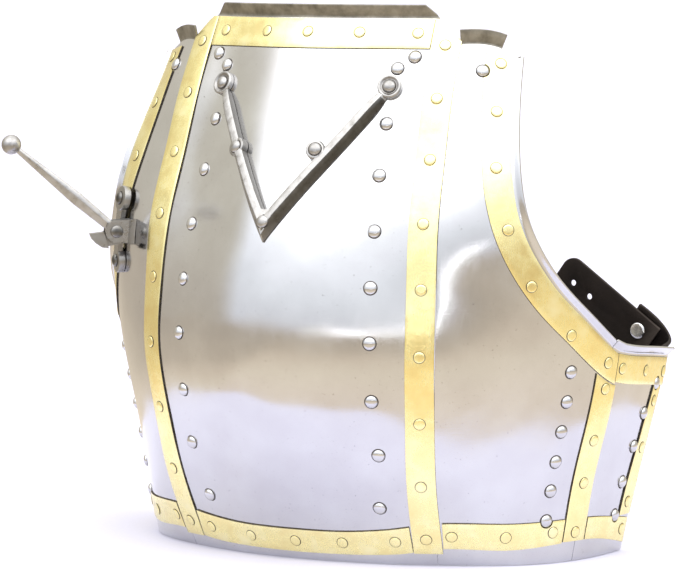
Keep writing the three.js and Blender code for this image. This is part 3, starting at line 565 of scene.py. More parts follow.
def rungs(first, last, count_or_fractions):
    """Rows between two edges, as many points across as asked for, or at the given fractions."""
    k = count_or_fractions
    k = np.linspace(0, 1, k) if isinstance(k, int) else np.array(k)
    return first[:, None] * (1 - k) + last[:, None] * k


def lengthwise(lower, upper, count):
    """Grid of a strip whose edges are functions of a fraction along it."""
    f = np.linspace(0, 1, count)
    (ta, za), (tb, zb) = lower(f), upper(f)
    return rungs(ta, tb, 6), rungs(za, zb, 6)


def side_by_side(line, level, low, high, fractions):
    """Girths of an upright strip between two distances from its line."""
    return rungs(beside(line, level, low)[0], beside(line, level, high)[0], fractions)


def band(start, end, lower, upper, count):
    """Grid of a strip along the girth between two heights."""
    t = rungs(*[np.linspace(start, end, count)] * 2, 6)
    k = np.linspace(0, 1, 6)
    return t, upper(np.abs(t)) * (1 - k) + lower(np.abs(t)) * k


# ---------------------------------------------------------------- plates
def plate_piece(name, patch, materials, rivets):
    """Steel plate from its patch, with sheet thickness, rounded edges and rivet heads."""
    obj = object_of(name, patch.mesh(name), *materials)
    thicken(obj, size("sheet"))
    round_edges(obj, 0.3)
    settle(obj)
    join_solids(obj, [steel_head(*r) for r in rivets])
    smooth(obj)
    return obj


def centre_plate(materials):
    edge = SIDE_JOINT - JOINT_GAP
    right = np.linspace(CHAMFER_START, edge, 4)[1:]
    girths = np.concatenate([-right[::-1], np.linspace(-CHAMFER_START, CHAMFER_START, 45), right])
    v = np.linspace(0, 1, 76)[:, None]
    t = girths[None, :] + 0 * v
    patch = grid((t, v * neck_edge(girths)[None, :]), 0)
    neck = np.abs(girths) < CHAMFER_START - 0.5
    chain = [i for i, inside in zip(patch.rows[-1], neck) if inside]
    # The turned neck edge takes material 1: a painted reflection of a dark bench.
    turn_edge(patch, chain, girths[neck], np.full(neck.sum(), NECK_HEIGHT), 3, 0.87, 6.7, 1, narrow=0.15)
    return plate_piece("centre_plate_steel", patch, materials, CENTRE_RIVETS + flip(CENTRE_RIVETS))


# Upper edge of the side plate: girth, height.
SIDE_TOP = [[SIDE_JOINT, SIDE_NECK_HEIGHT], [153.6, 335.8], [162, SHOULDER_HEIGHT], [175, 326]]
side_top = curve(SIDE_TOP, 1)
SIDE_KNEE = 150.0        # height where the side plate's upper rows begin to follow the armhole


def side_plate(materials):
    left, right = SIDE_JOINT + JOINT_GAP, SEAM_JOINT - JOINT_GAP
    seam_end = reach_of(armhole_line, 0, right, CREASE)
    shoulder = reach_of(armhole_line, 1, SHOULDER_HEIGHT, CREASE)
    corner = beside(armhole_line, [seam_end], CREASE)[1][0]
    low = np.linspace(0, 1, 31)
    high = np.linspace(0, 1, 53)[1:]
    crease_t, crease_z = beside(armhole_line, seam_end + (shoulder - seam_end) * high, CREASE)
    start_z = np.concatenate([SIDE_KNEE * low, SIDE_KNEE + (SIDE_NECK_HEIGHT - SIDE_KNEE) * high])[:, None]
    end_t = np.concatenate([right + 0 * low, crease_t])[:, None]
    end_z = np.concatenate([corner * low, crease_z])[:, None]
    f = np.linspace(0, 1, 27)[None, :]
    t = left + (end_t - left) * f
    z = start_z + (end_z - start_z) * f
    lean = np.clip((np.concatenate([0 * low, high])[:, None] - 0.8) / 0.2, 0, 1) ** 2
    z += lean * (side_top(t[-1]) - z[-1])[None, :]
    patch = grid((t, z), 0)
    chain = [row[-1] for row in patch.rows[len(low) - 1:]][::-1]
    rim_t, rim_z = t[len(low) - 1:, -1][::-1], z[len(low) - 1:, -1][::-1]
    turn_edge(patch, chain, rim_t, rim_z, 2.5, 0.75, 3.6, mitred=[-1])
    neck = (t[-1] > 118) & (t[-1] < 152)
    neck_chain = [i for i, inside in zip(patch.rows[-1], neck) if inside]
    # This neck edge takes material 1 too: the same painted reflection.
    turn_edge(patch, neck_chain, t[-1][neck], z[-1][neck], 2.5, 0.7, 8, 1)
    return plate_piece("side_plate_steel_left", patch, materials, SIDE_RIVETS)


def rear_plate(materials):
    left = SEAM_JOINT + JOINT_GAP
    start, end = reach_of(rear_top_line, 0, left + 1), reach_of(rear_top_line, 0, 345)
    f = np.linspace(0, 1, 22)
    edge_t, edge_z = beside(rear_top_line, start + (end - start) * f, -CREASE)
    edge_t[0], edge_z[0] = left, beside(armhole_line, [reach_of(armhole_line, 0, left, CREASE)], CREASE)[1][0]
    v = np.linspace(0, 1, 30)[:, None]
    z = v * edge_z[None, :]
    bottom = left + (rear_girth(0.0) - left) * f
    t = bottom[None, :] * (1 - v) + edge_t[None, :] * v
    t += (rear_girth(z[:, -1]) - t[:, -1])[:, None] * f[None, :] ** 3
    patch = grid((t, z), 0)
    turn_edge(patch, patch.rows[-1], t[-1], z[-1], 2.5, 0.75, 5.4, mitred=[0])
    return plate_piece("rear_plate_steel_left", patch, materials, REAR_RIVETS)


# ---------------------------------------------------------------- brass strips
def neck_strip(brass):
    end = beside(front_line, [NECK_HEIGHT - HALF], -HALF - 0.3)[0][0]
    top = NECK_HEIGHT - EDGE
    rows = band(-end, end, lambda t: 0 * t + top - 2 * HALF, lambda t: 0 * t + top, 50)
    return strip_piece("neck_strip_brass", rows, brass, NECK_RIVETS)


def front_strip(brass):
    bottom = 8.6
    v = np.linspace(0, 1, 90)[:, None]
    level = (bottom + (NECK_HEIGHT - bottom) * v)[:, 0]
    t = side_by_side(front_line, level, -HALF, HALF, [0, 0.13, 0.27, 0.45, 0.64, 0.82, 1])
    z = bottom + (neck_edge(t) - EDGE - bottom) * v
    return strip_piece("front_strip_brass_left", (t, z), brass, FRONT_RIVETS)


def edges_of(line, ends):
    """Functions of a fraction along a strip for its two edges, from where each edge starts and stops."""
    return [
        lambda f, a=a, b=b, side=side: beside(line, a + (b - a) * f, side)
        for (a, b), side in zip(ends, (-HALF, HALF))
    ]


def armhole_strip(brass):
    ends = [
        (
            reach_of(armhole_line, 0, ARMHOLE_END, side),
            reach_of(armhole_line, 1, SHOULDER_HEIGHT + over, side),
        )
        for side, over in ((-HALF, 3), (HALF, -EDGE))
    ]
    rows = lengthwise(*edges_of(armhole_line, ends), 90)
    return strip_piece("armhole_strip_brass_left", rows, brass, ARMHOLE_RIVETS, SIDE_RIVETS)


def rear_top_strip(brass):
    last = float(rear_girth(120.0)) - 1
    ends = [
        (reach_of(rear_top_line, 0, ARMHOLE_END + 0.3, side), reach_of(rear_top_line, 0, last, side))
        for side in (-HALF, HALF)
    ]
    rows = lengthwise(*edges_of(rear_top_line, ends), 26)
    return strip_piece("rear_top_strip_brass_left", rows, brass, REAR_TOP_RIVETS, REAR_RIVETS)


def edge_heights(line, girths, side):
    """Heights of a strip's edge over the given girths."""
    return beside(line, [reach_of(line, 0, t, side) for t in girths], side)[1]


def seam_strip(brass):
    bottom = float(waist_low(SEAM_GIRTH))
    v = np.linspace(0, 1, 34)[:, None]
    t = side_by_side(seam_line, (bottom + (118 - bottom) * v)[:, 0], -HALF, HALF, 6)
    top = edge_heights(armhole_line, np.minimum(t[-1], ARMHOLE_END - 0.5), -HALF) - 0.8
    return strip_piece("seam_strip_brass_left", (t, bottom + (top[None, :] - bottom) * v), brass, SEAM_RIVETS)


def rear_edge_strip(brass):
    bottom, width = float(waist_high(303.0)) + 0.6, 15
    v = np.linspace(0, 1, 26)[:, None]
    t = side_by_side(rear_line, (bottom + (106 - bottom) * v)[:, 0], -width - EDGE, -EDGE, 5)
    top = edge_heights(rear_top_line, t[-1], HALF) - 0.3
    places = np.transpose(beside(rear_line, REAR_EDGE_RIVETS, -width / 2 - EDGE)).tolist()
    rows = (t, bottom + (top[None, :] - bottom) * v)
    return strip_piece("rear_edge_strip_brass_left", rows, brass, places, REAR_RIVETS)


def waist_strip(name, start, end, count, brass, holes=()):
    rivets = [r for r in WAIST_RIVETS if start < r[0] < end]
    return strip_piece(name, band(start, end, waist_low, waist_high, count), brass, rivets, holes)


def crossing(line, height):
    """Girths where an upright strip's edges cross a height."""
    return [float(beside(line, [height], side)[0][0]) for side in (-HALF, HALF)]


# ---------------------------------------------------------------- stop rib
RIB_EYE = (63.5, 311.7)                         # girth, height; the other eye mirrors it
RIB_TIP = 221.0                                 # height of the point's centre line
RIB_LUGS = ((-33.5, 270.5), (24.5, 270.5))
RIB_WEB = 224.5                                 # height of the rivet in the web at the point
RIB_SEAT = 0.25
RIB_REACH = 3.4                                 # the bars end this far short of the eyes' centres, in girth
RIB_TAPER = 8.0                                 # girth over which they thin towards the eyes
# Section of the bar: distance outwards from its centre line, height above the plate.
RIB_BAR = [
    (-4.6, RIB_SEAT), (5.0, RIB_SEAT), (5.1, 1.2), (2.6, 4.1), (0.7, 6.2), (0.2, 6.4), (-2.2, 5.9),
    (-4.5, 5.2),
]
RIB_EYE_SIDE = [(0, RIB_SEAT), (8, RIB_SEAT), (8, 3), (7.3, 3.7), (6.4, 3.7), (5.2, 2.8), (0, 2.8)]
RIB_LUG_SIDE = [(0, RIB_SEAT), (6.5, RIB_SEAT), (6.5, 4.6), (6.2, 5.2), (5.6, 5.4), (0, 5.4)]
RIB_WEB_OUTLINE = [(0, -9), (9.5, 12), (6, 9.8), (3, 8.6), (0, 8.2), (-3, 8.6), (-6, 9.8), (-9.5, 12)]


def shells(name, solids, material, bevel):
    """One object from closed solids that overlap as forged or welded parts do, each with rounded edges."""
    obj = object_of(name, solid_mesh(name, solids), material, residue_and_shade())
    round_edges(obj, bevel, 2, 30)
    settle(obj)
    return obj


def paint_slope_shade(obj, material):
    """Paints shade on the slopes of the bars that face the wearer's left, in the dark forged material."""
    obj.data.materials.append(material)
    slot = len(obj.data.materials) - 1
    reach = RIB_EYE_SIDE[1][0] + 0.6
    eyes = [Vector(standing(side * RIB_EYE[0], RIB_EYE[1], 0)[:3, 3]) * MM for side in (-1, 1)]
    for face in obj.data.polygons:
        clear = min((face.center - eye).length for eye in eyes) > reach * MM
        if clear and face.normal.x > 0.36:
            face.material_index = slot


def rib_bars():
    """The two bars as one bent solid, from the right eye round the point to the left eye."""
    slope = (RIB_EYE[1] - RIB_TIP) / RIB_EYE[0]
    end = RIB_EYE[0] - RIB_REACH
    s = np.concatenate([np.linspace(0, end - RIB_TAPER, 22), np.linspace(end - RIB_TAPER, end, 7)[1:]])
    full = 1 - np.clip((s - end + RIB_TAPER) / RIB_TAPER, 0, 1) ** 1.5

    def centre_line(x):
        return np.asarray(x, float), RIB_TIP + np.asarray(x, float) * slope

    corners = []
    for k, h in RIB_BAR:
        points = [np.ravel(beside(centre_line, [x], k * (0.7 + 0.3 * f))) for x, f in zip(s, full)]
        t, z = np.transpose(points)
        z[0] -= t[0] * slope
        t[0] = 0
        corners.append((t, z, RIB_SEAT + (h - RIB_SEAT) * (0.5 + 0.5 * full)))
    order = [(-1, i) for i in range(len(s) - 1, 0, -1)] + [(1, i) for i in range(len(s))]
    return sweep([[lift(side * t[i:i + 1], z[i:i + 1], h[i])[0] for t, z, h in corners] for side, i in order])


def stop_rib(material):
    solids = [rib_bars(), prism(RIB_WEB_OUTLINE, RIB_SEAT, 5.2, standing(0, RIB_WEB, 0))]
    heads = [steel_head(0, RIB_WEB, 5.2, 1)]
    for side in (-1, 1):
        solids.append(lathe(RIB_EYE_SIDE, 40, standing(side * RIB_EYE[0], RIB_EYE[1], 0)))
        heads.append(steel_head(side * RIB_EYE[0], RIB_EYE[1], RIB_EYE_SIDE[-1][1], 1))
    for t, z in RIB_LUGS:
        solids.append(lathe(RIB_LUG_SIDE, 36, standing(t, z, 0)))
        heads.append(steel_head(t, z, RIB_LUG_SIDE[-1][1], 1))
    obj = shells("stop_rib_forged", solids, material, 0.35)
    # The slopes that face the wearer's left get painted shade.
    paint_slope_shade(obj, scale_and_shade())
    join_solids(obj, heads)
    smooth(obj)
    return obj


# ---------------------------------------------------------------- lance rest
PIVOT_AT = (-139.0, 211.3, 12.0)        # girth, height and lift of the pivot
PIVOT_TURN = math.radians(40)
ARM_RISE = math.radians(40)
ARM_LENGTH = 91.0                       # from the pin to the middle of the ball
# Along the arm: distance from the pin, half height, half width.
ARM_SHAPE = np.array([[4, 3.4, 2.4], [34, 4.4, 2.6], [ARM_LENGTH - 4, 1.9, 1.8]])
PIN_RADIUS = 2.5
PIN_PLAY = 0.2
LUGS = ((0.0, 3.0), (9.0, 12.0))        # the two lugs, along the pin
ARM_SIDES = (3.0, 9.0)                  # room between them for the arm
LOBES = ((-155.0, 232.5, 1.7), (-158.5, 191.3, 0.5))    # feet of the bracket: girth, height, lift
LOBE_HEIGHT = 4.2


def pivot_frame(rise=0.0):
    """Matrix at the pivot: X outwards from the body, turned up by the rise, Z along the pin to the rear."""
    t, z, out = PIVOT_AT
    point = on_body(np.array([t]), np.array([z]))[0] + normal(np.array([t]), np.array([z]))[0] * out
    x = np.array([-math.cos(PIVOT_TURN), -math.sin(PIVOT_TURN), 0])
    y = np.array([0, 0, 1.0])
    m = np.eye(4)
    m[:3, 0] = x * math.cos(rise) + y * math.sin(rise)
    m[:3, 1] = y * math.cos(rise) - x * math.sin(rise)
    m[:3, 2] = [-math.sin(PIVOT_TURN), math.cos(PIVOT_TURN), 0]
    m[:3, 3] = point
    return m


def arc(x, y, radius, start, end, steps):
    """Points on an arc round (x, y), the angles in radians."""
    return [(x + radius * math.cos(a), y + radius * math.sin(a)) for a in np.linspace(start, end, steps)]


def plank(start, end, half, low, high, steps=8):
    """Bar over the body from one [girth, height] to another."""
    line = Line([start, end])
    s = np.linspace(0, line.total, steps)
    (ta, za), (tb, zb) = beside(line, s, -half), beside(line, s, half)
    corners = [lift(ta, za, low), lift(tb, zb, low), lift(tb, zb, high), lift(ta, za, high)]
    return sweep([[c[i] for c in corners] for i in range(steps)])


def armhole_room():
    """Room round the wearer's right armhole strip, for the bracket to bridge it."""
    s = np.linspace(reach_of(armhole_line, 1, 180), reach_of(armhole_line, 1, 250), 16)
    (ta, za), (tb, zb) = beside(armhole_line, s, -HALF - 0.3), beside(armhole_line, s, HALF + 0.3)
    top = strip_top() + 0.2
    corners = [lift(-ta, za, -1), lift(-tb, zb, -1), lift(-tb, zb, top), lift(-ta, za, top)]
    return sweep([[c[i] for c in corners] for i in range(len(s))])


def lance_bracket(material):
    pivot = pivot_frame()
    solids, heads = [], []
    for t, z, seat in LOBES:
        low, top = max(seat - 0.2, 0.25), seat + LOBE_HEIGHT
        edge = [(0, low), (8.5, low), (8.5, top - 0.8), (8.1, top - 0.2), (7.3, top), (0, top)]
        solids.append(lathe(edge, 40, standing(t, z, 0)))
        heads.append(steel_head(t, z, top, 1))
    solids.append(plank((-158.5, 191.3), (-155, 232.5), 4.5, 1.8, 5))
    solids.append(plank((-160, 211.8), (-136, 211.2), 8, 0.4, 4.6))
    lug = [(-19, -9.5), (-4, -7.4)] + arc(0, 0, 7.6, -2, 1.75, 22) + [(-19, 8.5)]
    stop = [(8.2, -0.8), (5, -11.5), (9.5, -10.9), (13, -8.6), (15.8, -5.6), (17.5, -1.8)]
    root = [(0, 3), (-8, -8), (7, -11), (9, -0.9)]
    for z0, z1 in LUGS:
        solids.append(prism(lug, z0, z1, pivot))
    solids.append(prism(stop, ARM_SIDES[0], LUGS[1][1], pivot))
    solids.append(prism(root, *LUGS[1], pivot))
    name = "lance_bracket_forged"
    obj = object_of(name, solid_mesh(name, solids[:1]), material, residue_and_shade())
    combine(obj, solids[1:], "UNION")
    girths, levels = np.meshgrid(np.linspace(-180, -120, 16), np.linspace(185, 240, 15))
    cuts = [slab_solid(grid((girths, levels), 0.3), 12), armhole_room()]
    cuts += [drum(4.1, -1, 3, 24, standing(t, z, 0)) for t, z in flip(ARMHOLE_RIVETS)]
    cuts += [drum(PIN_RADIUS + PIN_PLAY, -5, 20, 32, pivot), drum(7.4, *ARM_SIDES, 40, pivot)]
    combine(obj, cuts, "DIFFERENCE")
    round_edges(obj, 0.3, 2, 40)
    settle(obj)
    join_solids(obj, heads)
    smooth(obj)
    return obj


def slab_solid(patch, depth):
    """Closed solid from a grid patch, as deep as given below it."""
    top = np.concatenate(patch.points)
    rows, cols = len(patch.rows), len(patch.rows[0])
    middle = normal(np.array([PIVOT_AT[0]]), np.array([PIVOT_AT[1]]))[0]
    points = np.concatenate([top, top - middle * depth])
    n = rows * cols
    faces = list(patch.faces) + [tuple(i + n for i in face[::-1]) for face in patch.faces]
    rim = [*range(cols), *range(2 * cols - 1, n, cols), *range(n - 2, n - cols - 1, -1)]
    rim += range(n - 2 * cols, 0, -cols)
    faces += [(b, a, a + n, b + n) for a, b in zip(rim, rim[1:] + rim[:1])]
    return points, faces


def turned_piece(name, profile, sides, matrix, material):
    """Finished object from one turned profile."""
    obj = object_of(name, solid_mesh(name, [lathe(profile, sides, matrix)]), material)
    smooth(obj)
    return obj


def lance_pin(material):
    start, end = LUGS[0][0] - 0.3, LUGS[1][1] + 0.3
    profile = [(0, start - 2.4), (1.6, start - 2.3), (2.9, start - 1.9), (3.9, start - 1.1), (4.3, start)]
    profile += [(PIN_RADIUS, start), (PIN_RADIUS, end), (3.6, end), (3.6, end + 0.7), (3.1, end + 1.2)]
    return turned_piece("lance_pin_steel", profile + [(0, end + 1.2)], 36, pivot_frame(), material)


def ring_solid(profile, sides, matrix):
    """Turned solid with a bore, from a closed profile of (radius, height)."""
    n = len(profile)
    points = [
        (r * math.cos(a), r * math.sin(a), h)
        for a in np.linspace(0, 2 * math.pi, sides, endpoint=False) for r, h in profile
    ]
    faces = [
        (i * n + k, (i + 1) % sides * n + k, (i + 1) % sides * n + (k + 1) % n, i * n + (k + 1) % n)
        for i in range(sides) for k in range(n)
    ]
    return place(points, matrix), faces


def lance_arm(material):
    front, back = ARM_SIDES[0] + 0.3, ARM_SIDES[1] - 0.3
    middle = (front + back) / 2
    pivot = pivot_frame(ARM_RISE)
    rings = []
    for x in np.linspace(ARM_SHAPE[0, 0], ARM_SHAPE[-1, 0], 22):
        half, deep = (float(np.interp(x, ARM_SHAPE[:, 0], ARM_SHAPE[:, k])) for k in (1, 2))
        side = [
            (half, 0.45 * deep), (0.35 * half, 0.97 * deep), (0.1 * half, 0.97 * deep), (-half, 0.5 * deep),
        ]
        outline = side + [(y, -z) for y, z in side[::-1]]
        rings.append(place([(x, y, middle + z) for y, z in outline], pivot))
    inner = PIN_RADIUS + PIN_PLAY
    eye = [(inner, front), (6.1, front), (6.5, front + 0.4), (6.5, back - 0.4), (6.1, back), (inner, back)]
    obj = shells("lance_arm_forged", [sweep(rings)], material, 0.3)
    ball_at = pivot.copy()
    ball_at[:3, 3] = place([(ARM_LENGTH, 0, middle)], pivot)[0]
    radius = size("ball") / 2
    ball = [(radius * math.cos(a), radius * math.sin(a)) for a in np.radians(np.linspace(-90, 90, 25))]
    ball[0], ball[-1] = (0, -radius), (0, radius)
    join_solids(obj, [ring_solid(eye, 40, pivot), lathe(ball, 40, ball_at)])
    smooth(obj)
    return obj


# ---------------------------------------------------------------- leather
STRAP_RIVET_AT = (160.0, 181.0 - ORIGIN_Y, 144.0)
STRAP_RISE = math.radians(36)
STRAP_TAIL = -12.0      # its hidden end, past the rivet
STRAP_OFFSET = -4.5     # the strap's middle line, below the rivet
STRAP_CORNER = 9.0      # radius of its tip's corners
# Holes along the strap: distance from the rivet, distance across, radius.
STRAP_HOLES = ((0, 0, 2.9), (42.4, STRAP_OFFSET, 2.0), (57.4, STRAP_OFFSET, 2.0))


def strap_frame():
    """Matrix on the strap's front face at the rivet: X along the strap, Y across it, Z to the back."""
    c, s = math.cos(STRAP_RISE), math.sin(STRAP_RISE)
    m = np.eye(4)
    m[:3, 0], m[:3, 1], m[:3, 2], m[:3, 3] = (-c, 0, s), (s, 0, c), (0, 1, 0), STRAP_RIVET_AT
    return m


def soften(obj):
    """Rounds a leather piece's cut edges."""
    round_edges(obj, 0.7, 3, 40)
    settle(obj)
    smooth(obj, 50)


def strap_tab(leather):
    """Tab that rises from inside the rear plate and turns flat behind the strap."""
    thick, width, steps = size("leather"), size("strap_width"), 49
    inside = -size("sheet") - 0.3 - thick / 2 - 0.9
    plate_up = unit(slopes(np.array([322.0]), np.array([110.0]))[1][0])
    x, y = STRAP_RIVET_AT[:2]
    back = y + thick * 1.5 + 1.2
    start = lift(np.array([308.0, 322, 333]), np.array([106.0, 110, 114]), inside)
    rest = [(176.5, back - 5, 121), (171.5, back - 0.2, 128), (x + 4, back, 139), (x - 9, back, 149)]
    points = np.concatenate([start, rest])
    reach = np.concatenate([[0], np.cumsum(np.sqrt(np.linalg.norm(np.diff(points, axis=0), axis=1)))])
    line = Spline(reach).weights(np.linspace(0, reach[-1], steps)) @ points
    along = unit(np.gradient(line, axis=0))
    blend = np.clip((np.linspace(0, 1, steps) - 0.35) / 0.25, 0, 1)[:, None]
    blend = blend * blend * (3 - 2 * blend)
    lean = plate_up * (1 - blend) + np.array([0, 0, 1.0]) * blend
    up = unit(lean - along * (along * lean).sum(1, keepdims=True))
    outward = np.cross(along, up)
    patch = Patch()
    rows = [
        patch.row([line[i] + up[i] * width * k + outward[i] * thick / 2 for k in np.linspace(-0.5, 0.5, 7)])
        for i in range(steps)
    ]
    for low, high in zip(rows, rows[1:]):
        patch.weave(low, high)
    obj = object_of("strap_tab_leather_left", patch.mesh("strap_tab_leather_left"), leather)
    if obj.data.polygons[60].normal.dot(Vector(outward[10])) < 0:
        obj.data.flip_normals()
    thicken(obj, thick)
    soften(obj)
    return obj


def back_strap(leather):
    thick, width, r = size("leather"), size("strap_width"), STRAP_CORNER
    low, high = STRAP_OFFSET - width / 2, STRAP_OFFSET + width / 2
    end = size("strap_length") - r
    bottom = [(x, low) for x in np.linspace(STRAP_TAIL, end, 13)[:-1]]
    top = [(x, high) for x in np.linspace(end, STRAP_TAIL, 13)[1:]]
    corners = arc(end, low + r, r, -math.pi / 2, 0, 14) + arc(end, high - r, r, 0, math.pi / 2, 14)
    strap = solid_mesh("back_strap", [prism(bottom + corners + top, 0, thick, strap_frame())])
    obj = object_of("back_strap_leather", strap, leather)
    holes = []
    for x, y, radius in STRAP_HOLES:
        m = strap_frame()
        m[:3, 3] = place([(x, y, 0)], m)[0]
        holes.append(drum(radius, -3, 6, 28, m))
    combine(obj, holes, "DIFFERENCE")
    soften(obj)
    return obj


def strap_rivet(steel):
    thick = size("leather")
    profile = [(0, -1.9), (2.4, -1.85), (4.0, -1.65), (4.9, -1.3), (5.3, -0.9), (5.3, -0.2), (2.6, -0.2)]
    profile += [(2.6, thick), (0, thick)]
    return turned_piece("strap_rivet_head", profile, 40, strap_frame(), steel)


def block(x0, x1, y0, y1, z0, z1):
    """Block along the strap, across it and through it."""
    return prism([(x0, y0), (x1, y0), (x1, y1), (x0, y1)], z0, z1, strap_frame())


def buckle(steel):
    """Plain frame with a middle bar, made on the left like the strap and mirrored."""
    obj = object_of("buckle_steel", solid_mesh("buckle", [block(-10, 18, -21, 21, -0.3, 2.5)]), steel)
    combine(obj, [block(x - 4.4, x + 4.4, -17, 17, -4, 6.1) for x in (-2.2, 10.2)], "DIFFERENCE")
    round_edges(obj, 0.8, 3, 40)
    settle(obj)
    obj.data.transform(Matrix.Scale(-1, 4, Vector((1, 0, 0))))
    obj.data.flip_normals()
    smooth(obj)
    return obj


# ---------------------------------------------------------------- finishes
def linear(colour):
    """Scene-linear RGBA from an sRGB hex string."""
    parts = [int(colour[i:i + 2], 16) / 255 for i in (1, 3, 5)]
    return (*[c / 12.92 if c <= 0.04045 else ((c + 0.055) / 1.055) ** 2.4 for c in parts], 1.0)


def rgba(colour):
    """RGBA from a hex string or from a colour setting."""
    return linear(colour) if isinstance(colour, str) else (*colour, 1.0)


def node(tree, kind, inputs=None, **settings):
    """Adds a shader node; inputs are values, or the outputs of other nodes to link from."""
    made = tree.nodes.new(kind)
    for key, value in settings.items():
        setattr(made, key, value)
    for key, value in (inputs or {}).items():
        socket = made.inputs[key]
        if isinstance(value, bpy.types.NodeSocket):
            tree.links.new(value, socket)
        else:
            socket.default_value = value
    return made


def ramp(tree, value, stops):
    """Colour ramp from (position, colour) stops."""
    made = node(tree, "ShaderNodeValToRGB", {"Fac": value})
    elements = made.color_ramp.elements
    while len(elements) < len(stops):
        elements.new(1.0)
    for element, (position, colour) in zip(elements, stops):
        element.position, element.color = position, rgba(colour)
    return made.outputs["Color"]


def spread(tree, value, low, high, start=0.0, end=1.0):
    """Maps a range of a pattern onto a range of values."""
    made = node(tree, "ShaderNodeMapRange", {
        "Value": value, "From Min": start, "From Max": end, "To Min": low, "To Max": high,
    })
    return made.outputs["Result"]


def place_pattern(tree, stretch=(1.0, 1.0, 1.0), turn=(0.0, 0.0, 0.0)):
    """Object coordinates in millimetres, stretched by the given factors."""
    where = node(tree, "ShaderNodeTexCoord").outputs["Object"]
    return node(tree, "ShaderNodeMapping", {
        "Vector": where, "Scale": tuple(1000 / s for s in stretch), "Rotation": turn,
    }).outputs["Vector"]


def cloud(tree, where, lump, detail=3.0, roughness=0.5, distortion=0.0):
    """Noise with lumps of about the given number of pattern units."""
    return node(tree, "ShaderNodeTexNoise", {
        "Vector": where, "Scale": 1 / lump, "Detail": detail, "Roughness": roughness,
        "Distortion": distortion,
    }).outputs["Fac"]


def mix_colours(tree, amount, a, b):
    """Colour a where the amount is 0 and b where it is 1."""
    return node(tree, "ShaderNodeMix", {0: amount, 6: a, 7: b}, data_type="RGBA").outputs[2]


def total(tree, a, b):
    return node(tree, "ShaderNodeMath", {0: a, 1: b}, operation="ADD").outputs[0]


def bump(tree, height, depth, strength=1.0, below=None):
    """Relief from a pattern, its depth in millimetres."""
    inputs = {"Height": height, "Distance": depth * MM, "Strength": strength}
    if below is not None:
        inputs["Normal"] = below
    return node(tree, "ShaderNodeBump", inputs).outputs["Normal"]


def finish(name, metallic=0.0):
    """Empty node material; gives the material, its tree and its shader."""
    material = bpy.data.materials.new(name)
    material.use_nodes = True
    shader = material.node_tree.nodes["Principled BSDF"]
    shader.inputs["Metallic"].default_value = metallic
    return material, material.node_tree, shader


def feed(tree, shader, colour, roughness, relief):
    """Links a finish's three patterns to its shader."""
    for socket, value in (("Base Color", colour), ("Roughness", roughness), ("Normal", relief)):
        tree.links.new(value, shader.inputs[socket])


def buffed(tree, clouds, hairs, roughness, low, high, hair):
    """Roughness of a buffed metal: cloudy, and a little more along the hairlines."""
    cloudy = spread(tree, clouds, roughness * low, roughness * high, 0.35, 0.65)
    return total(tree, cloudy, spread(tree, hairs, -0.02, hair, 0.35, 0.7))


def polished_steel(finishes):
    """Cold-worked mild steel, planished and buffed: bright, with soft clouds of wear and fine hairlines."""
    material, tree, shader = finish("polished_steel", 1.0)
    plain = place_pattern(tree)
    clouds = cloud(tree, plain, 38, 4, 0.55)
    hairs = cloud(tree, place_pattern(tree, (0.35, 0.35, 16), (0.12, 0.3, 0)), 1.0, 2, 0.6)
    cross_hairs = cloud(tree, place_pattern(tree, (14, 14, 0.4), (0.5, 0.1, 0.2)), 1.0, 2, 0.6)
    # Faint brown-grey specks, some 1.6 mm apart, where old rust was polished out.
    marks = spread(tree, cloud(tree, plain, 1.6, 2, 0.5), 0, 0.55, 0.7, 0.78)
    tint = ramp(tree, clouds, [(0.3, finishes.steel_low), (0.7, finishes.steel_high)])
    colour = mix_colours(tree, marks, tint, linear("#77726c"))
    relief = bump(tree, cross_hairs, 0.008, below=bump(tree, hairs, 0.012))
    roughness = buffed(tree, clouds, hairs, finishes.steel_roughness, 0.75, 1.35, 0.05)
    feed(tree, shader, colour, roughness, relief)
    return material


def painted_neck_reflection(finishes):
    """The same steel painted brown-grey on the turned neck edge, a painted reflection of a dark bench,
    lighter in patches.
    """
    material, tree, shader = finish("darkened_steel", 1.0)
    plain = place_pattern(tree)
    clouds = cloud(tree, plain, 9, 5, 0.6)
    colour = ramp(tree, clouds, [(0.3, "#6d6a62"), (0.55, finishes.painted_neck_reflection), (0.8, "#aca79c")])
    relief = bump(tree, cloud(tree, plain, 0.9, 3, 0.6), 0.05)
    feed(tree, shader, colour, spread(tree, clouds, 0.34, 0.55, 0.3, 0.7), relief)
    return material


def polished_brass(finishes):
    """Rolled brass strip, hammered down and buffed: pale yellow, streaked, tarnished in the dips."""
    material, tree, shader = finish("polished_brass", 1.0)
    plain = place_pattern(tree)
    clouds = cloud(tree, plain, 16, 4, 0.6)
    hairs = cloud(tree, place_pattern(tree, (0.4, 0.4, 9), (0.3, 0.2, 0)), 1.0, 2, 0.6)
    dents = cloud(tree, plain, 7, 1, 0.4)
    tints = [(0.28, finishes.brass_low), (0.5, finishes.brass), (0.75, finishes.brass_high)]
    colour = ramp(tree, clouds, tints)
    relief = bump(tree, dents, 0.12, below=bump(tree, hairs, 0.015))
    roughness = buffed(tree, clouds, hairs, finishes.brass_roughness, 0.8, 1.3, 0.06)
    feed(tree, shader, colour, roughness, relief)
    return material


